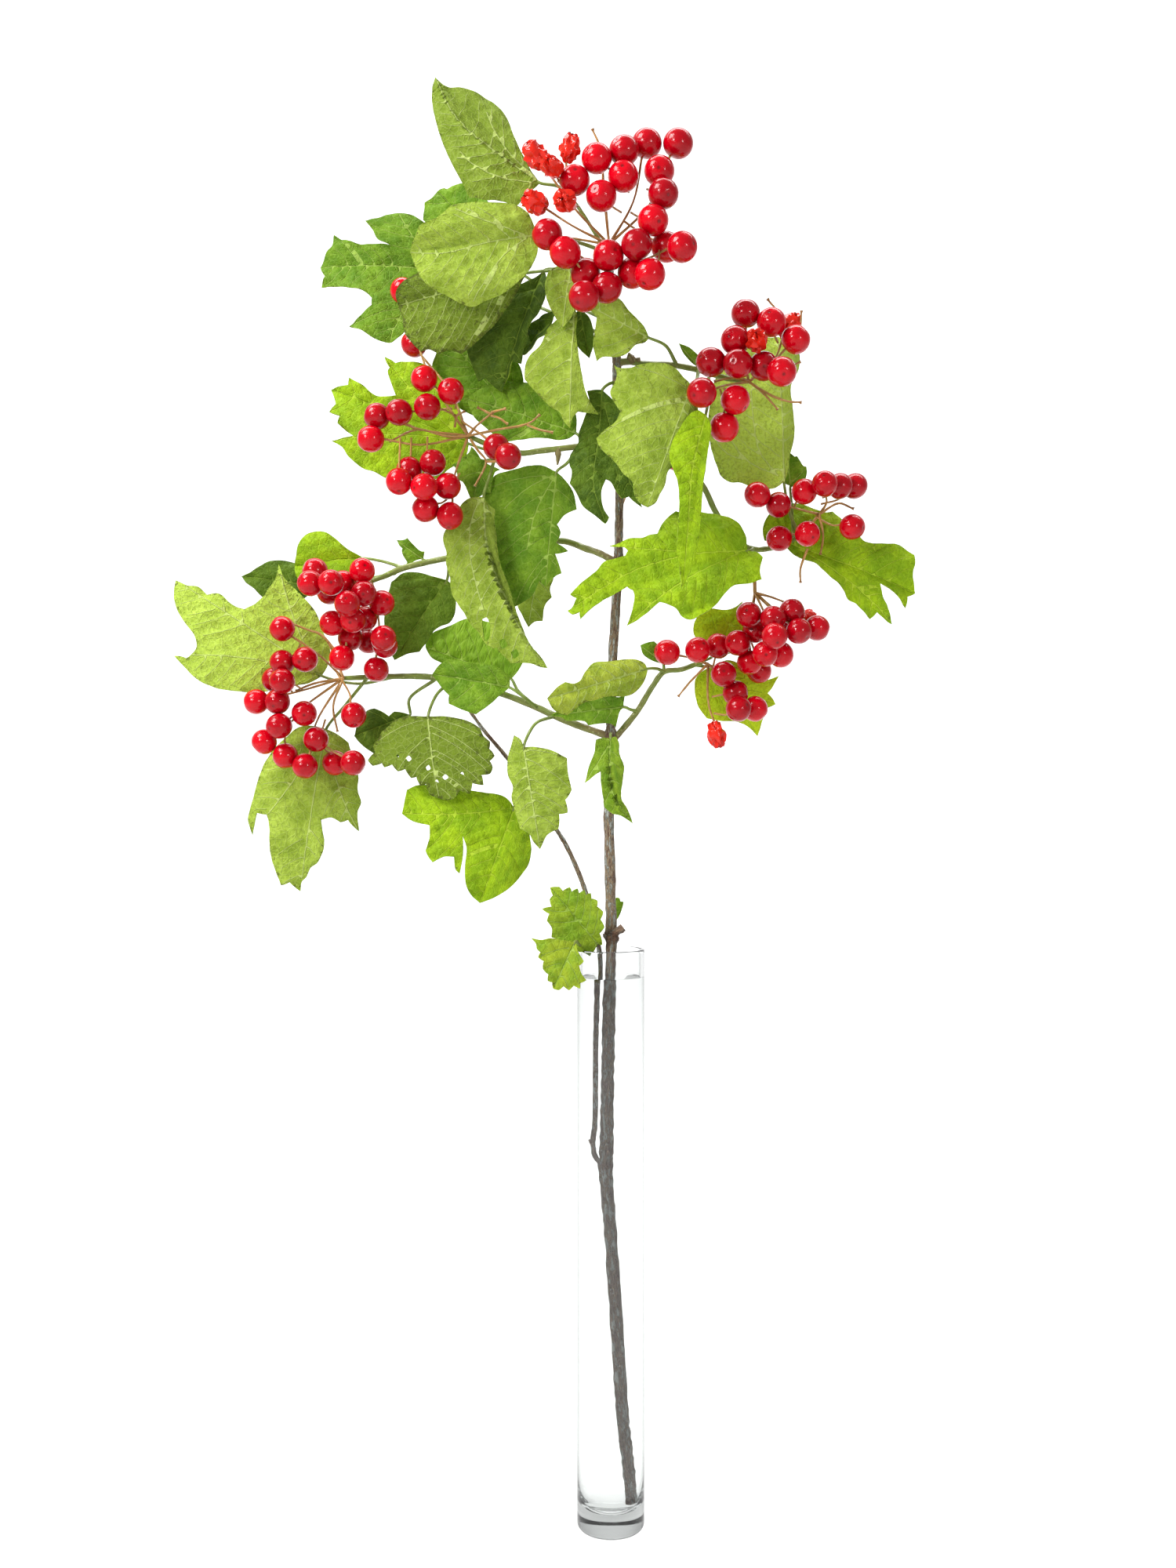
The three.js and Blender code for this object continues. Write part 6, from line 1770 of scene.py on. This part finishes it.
def add_ray(book, fork, centre, radius, width, seed, chance):
    length = np.linalg.norm(centre - fork)
    aside = unit(np.cross(centre - fork, [0, 1, 0])) * chance.uniform(-RAY_BOW, RAY_BOW) * length
    middle = (fork + centre) / 2 + aside + np.array([0, 0, -RAY_SAG * length])
    top = centre + unit(fork - centre) * radius * RAY_END
    radii = [RAY_RADIUS * width, RAY_RADIUS * 0.8, RAY_RADIUS]
    book.add_tube([fork, middle, top], radii, tint=(0.3, 0.3), sides=7, steps=6, wobble=0.05, seed=seed)
    return middle


def add_bare_ray(book, line, seed):
    knob = line[-1] + KNOB_LENGTH * unit(line[-1] - line[-2])
    radii = [*np.linspace(*BARE_RADII, len(line)), KNOB_RADIUS]
    book.add_tube([*line, knob], radii, tint=(0.2, 0.6), sides=7, steps=5, wobble=0.1, seed=seed)


# %% [markdown]
# ## The bunches
# Each bunch has its hub, how far its middle stands in front of the hub ("front", in mm), the
# number of its rays and the places of its berries; a third number is a depth. "stalk" leads
# to the twig where the hub isn't on it.

# %% Bunch table
BUNCHES = {}


def new_bunch(name, radius=BERRY_RADIUS, **facts):
    BUNCHES["bunch_" + name] = dict(facts, radius=radius)


new_bunch("top", hub=(777, 312, -35), radius=TOP_BERRY_RADIUS, front=-18, rays=6,
    berries=[(865, 183), (796, 192), (825, 183), (761, 202), (841, 218), (733, 230), (795, 225), (846, 247),
        (767, 250), (833, 281), (698, 299), (721, 322), (776, 326), (812, 312), (850, 315), (870, 315),
        (774, 367), (747, 349), (807, 348), (829, 350), (745, 378)],
    shrivelled=[(683, 198), (704, 213), (727, 189), (682, 258), (721, 256)],
    bare=[[(777, 312), (770, 240), (766, 190), (757, 168)], [(777, 312), (735, 305), (700, 302)]])
new_bunch("right_high", hub=(955, 487, -12), radius=TOP_BERRY_RADIUS, front=-16, rays=5,
    berries=[(951, 400), (984, 411), (938, 434), (1015, 433), (907, 462), (941, 464), (974, 467), (997, 474),
        (895, 501, -35), (938, 510), (924, 545)],
    shrivelled=[(965, 434), (1008, 416)],
    bare=[[(955, 487), (985, 505), (1006, 512), (1019, 513)], [(955, 487), (935, 482), (914, 486)],
        [(984, 418), (990, 397), (981, 384)], [(1010, 440), (1020, 420), (1022, 400)], [(990, 478),
        (1008, 468), (1018, 463)], [(955, 487), (972, 500), (990, 520)]])
new_bunch("right_mid", hub=(1045, 656, 10), front=-12, rays=4,
    berries=[(966, 631, -5), (993, 644, -3), (1026, 627), (1071, 620), (1052, 617), (1090, 620), (994, 687),
        (1030, 681), (1087, 672)],
    bare=[[(1045, 656), (1070, 642), (1086, 648)], [(1045, 656), (1050, 685), (1047, 704)], [(1030, 700),
        (1021, 726), (1021, 740)]])
new_bunch("right_low", hub=(963, 756, 4), front=-10, rays=5,
    berries=[(955, 784), (1010, 780), (941, 820), (963, 804), (986, 789), (1006, 795), (1042, 801),
        (1019, 805), (988, 811), (996, 835), (976, 834), (956, 845), (968, 855)],
    shrivelled=[(1031, 789)], stalk=[(962, 730, 4.5), (958, 700, 5)],
    bare=[[(903, 847), (880, 870), (867, 886)], [(963, 756), (985, 762), (1001, 768)]])
new_bunch("right_foot", hub=(903, 847, 5), front=-10, rays=3,
    berries=[(851, 832), (890, 829), (916, 824, 4), (923, 860), (938, 884), (942, 904), (963, 904)],
    shrivelled=[(914, 937)])
new_bunch("left_high", hub=(597, 556, -15), front=-12, rays=5,
    berries=[(541, 483), (575, 499), (545, 519), (509, 526), (481, 531), (473, 560), (633, 570),
        (648, 582, -28), (552, 590), (522, 600), (571, 620), (509, 614), (541, 621), (574, 658, -27),
        (543, 649), (514, 371, 1), (528, 439, 1)],
    torn=0,
    bare=[[(597, 556), (608, 543), (626, 528)], [(626, 528), (612, 521)], [(627, 526), (642, 522)],
        [(626, 530), (636, 533), (645, 539)], [(597, 556), (640, 547), (664, 543), (678, 538), (686, 531)],
        [(672, 542), (688, 548), (702, 551)], [(597, 556), (572, 557), (532, 548), (500, 562)], [(532, 548),
        (520, 541)], [(600, 560), (610, 575), (620, 589), (607, 617)], [(620, 589), (658, 588)], [(580, 545),
        (583, 530), (590, 526)]])
new_bunch("left_mid", hub=(474, 741, 8), front=-12, rays=5,
    berries=[(402, 728), (462, 728), (437, 744), (396, 744), (420, 755), (422, 743), (464, 757), (487, 769),
        (443, 770), (465, 789), (424, 795), (450, 791), (447, 814), (491, 823), (489, 814), (470, 818),
        (436, 839), (480, 854)])
new_bunch("left_low", hub=(438, 865, 11), front=-12, rays=5,
    berries=[(360, 802), (389, 841), (360, 845), (360, 869), (350, 867), (354, 895), (327, 895), (388, 910),
        (451, 912), (356, 926), (337, 946), (403, 943), (364, 964), (389, 977), (450, 973), (427, 973)],
    bare=[[(432, 835), (410, 810), (392, 803), (372, 795)], [(438, 865), (432, 850), (420, 822)],
        [(438, 865), (400, 872), (380, 880)], [(438, 865), (425, 900), (430, 930)]])
new_bunch("back_right", hub=(962, 535, 38), front=10, rays=4,
    berries=[(932, 520, 44), (968, 500, 46), (995, 520, 42), (940, 560, 46), (975, 545, 54), (985, 580, 44),
        (950, 590, 40), (975, 470, 38)],
    stalk=[(920, 542, 28), (850, 552, 10), (789, 590, -5)])
new_bunch("back_centre", hub=(838, 560, 46), front=10, rays=4,
    berries=[(812, 530, 52), (845, 515, 54), (870, 545, 50), (808, 575, 50), (838, 565, 64), (862, 585, 54),
        (828, 602, 54)],
    stalk=[(815, 590, 32), (796, 635, 10), (790, 650, -3)])
print("bunches:", len(BUNCHES), "berries:", sum(len(bunch["berries"]) for bunch in BUNCHES.values()))

# %% [markdown]
# ## Making the bunches
# The berries of a bunch are one piece and its rays another, because their finishes differ.
# Together they take the place of the one CAD piece.

# %% Make the bunches
for number, (name, bunch) in enumerate(BUNCHES.items()):
    chance = random.Random(number)
    berries = place_berries(bunch)
    hub, hub_depth = seen(bunch["hub"]), bunch["hub"][2]
    fruit, spray = Notebook(), Notebook()
    for fork, index, width in bunch_rays(hub, berries, bunch["rays"]):
        centre, radius, shrivelled = berries[index]
        middle = add_ray(spray, fork, centre, radius, width, index, chance)
        if index == bunch.get("torn"):
            add_torn_berry(fruit, centre, radius)
        else:
            add_berry(fruit, centre, radius, centre - middle, shrivelled, chance)
    for order, line in enumerate(bunch.get("bare", [])):
        add_bare_ray(spray, [seen((*spot, hub_depth - 2)) for spot in line], order)
    if "stalk" in bunch:
        line = [hub, *[seen(spot) for spot in bunch["stalk"]]]
        spray.add_tube(line, STALK_OF_BUNCH, tint=(0.1, 0.1), sides=8, steps=8, wobble=0.05, seed=number)
    fruit.make(name + "_berries", [name], "berry", [berry])
    spray.make(name + "_rays", [name], "twig", [ray_skin])
print("bunches:", len(BUNCHES), "triangles so far:", triangle_total)

# %% [markdown]
# ## Floor and backdrop
# A pale floor and backdrop in one sweep give the plain white ground of the photograph. It
# glows softly: a floor lit as strongly as that needs would burn out inside the clear vase. It
# isn't part of the object.

# %% Floor
FLOOR_GREY = (0.42, 0.42, 0.42, 1)
FLOOR_GLOW = 0.48
FLOOR_HALF_WIDTH = 3.5
SWEEP = [(-2.5, 0), (1.2, 0), (1.7, 0.1), (2.0, 0.4), (2.1, 0.9), (2.1, 3.2)]

floor, tree, shader = new_material(
    "pale floor", Base_Color=FLOOR_GREY, Roughness=0.9,
    Emission_Color=(1, 1, 1, 1), Emission_Strength=FLOOR_GLOW)
profile = smooth_line([(0, y, z) for y, z in SWEEP], 6)
points = [(x, y, z) for _, y, z in profile for x in (-FLOOR_HALF_WIDTH, FLOOR_HALF_WIDTH)]
mesh = bpy.data.meshes.new("floor")
mesh.from_pydata(points, [], [(2 * k, 2 * k + 1, 2 * k + 3, 2 * k + 2) for k in range(len(profile) - 1)])
mesh.materials.append(floor)
ground = bpy.data.objects.new("floor", mesh)
bpy.context.scene.collection.objects.link(ground)
print("floor faces:", len(mesh.polygons))

# %% [markdown]
# ## Light
# Soft light comes from all round. A small light from the upper left gives the berries their
# highlights, a weaker one from the right fills the shadows, a larger one above models the
# leaves, and the fourth is aimed at the backdrop.

# %% World and lights
WORLD_STRENGTH = 0.35
MIDDLE = (0, 0, 0.35)
BACKDROP = (0, 2.1, 0.5)

world = bpy.data.worlds.new("studio")
bpy.context.scene.world = world
world.use_nodes = True
background = world.node_tree.nodes["Background"].inputs
background["Color"].default_value = (1, 1, 1, 1)
background["Strength"].default_value = WORLD_STRENGTH


def turn_towards(direction):
    """Angles that turn a lamp's -Z towards a direction."""
    x, y, z = unit(direction)
    return math.acos(-z), 0, math.atan2(y, x) - math.pi / 2


def area_light(name, place, target, size, power):
    lamp = bpy.data.lights.new(name, "AREA")
    lamp.size = size
    lamp.energy = power
    light = bpy.data.objects.new(name, lamp)
    light.location = place
    light.rotation_euler = turn_towards(np.array(target) - np.array(place))
    bpy.context.scene.collection.objects.link(light)


area_light("key light", (-0.85, -1.15, 0.75), MIDDLE, size=0.3, power=9)
area_light("fill light", (0.75, -1.2, 0.5), MIDDLE, size=0.25, power=4)
area_light("top light", (-0.8, -0.5, 1.3), MIDDLE, size=0.6, power=20)
area_light("backdrop light", (0, 0.5, 1.6), BACKDROP, size=1.5, power=62)
bpy.context.scene.view_settings.view_transform = "Standard"

# %% [markdown]
# ## Sizes
# Last, we print how many triangles the dressed model has.

# %% Triangle count
print("triangles in all:", triangle_total)
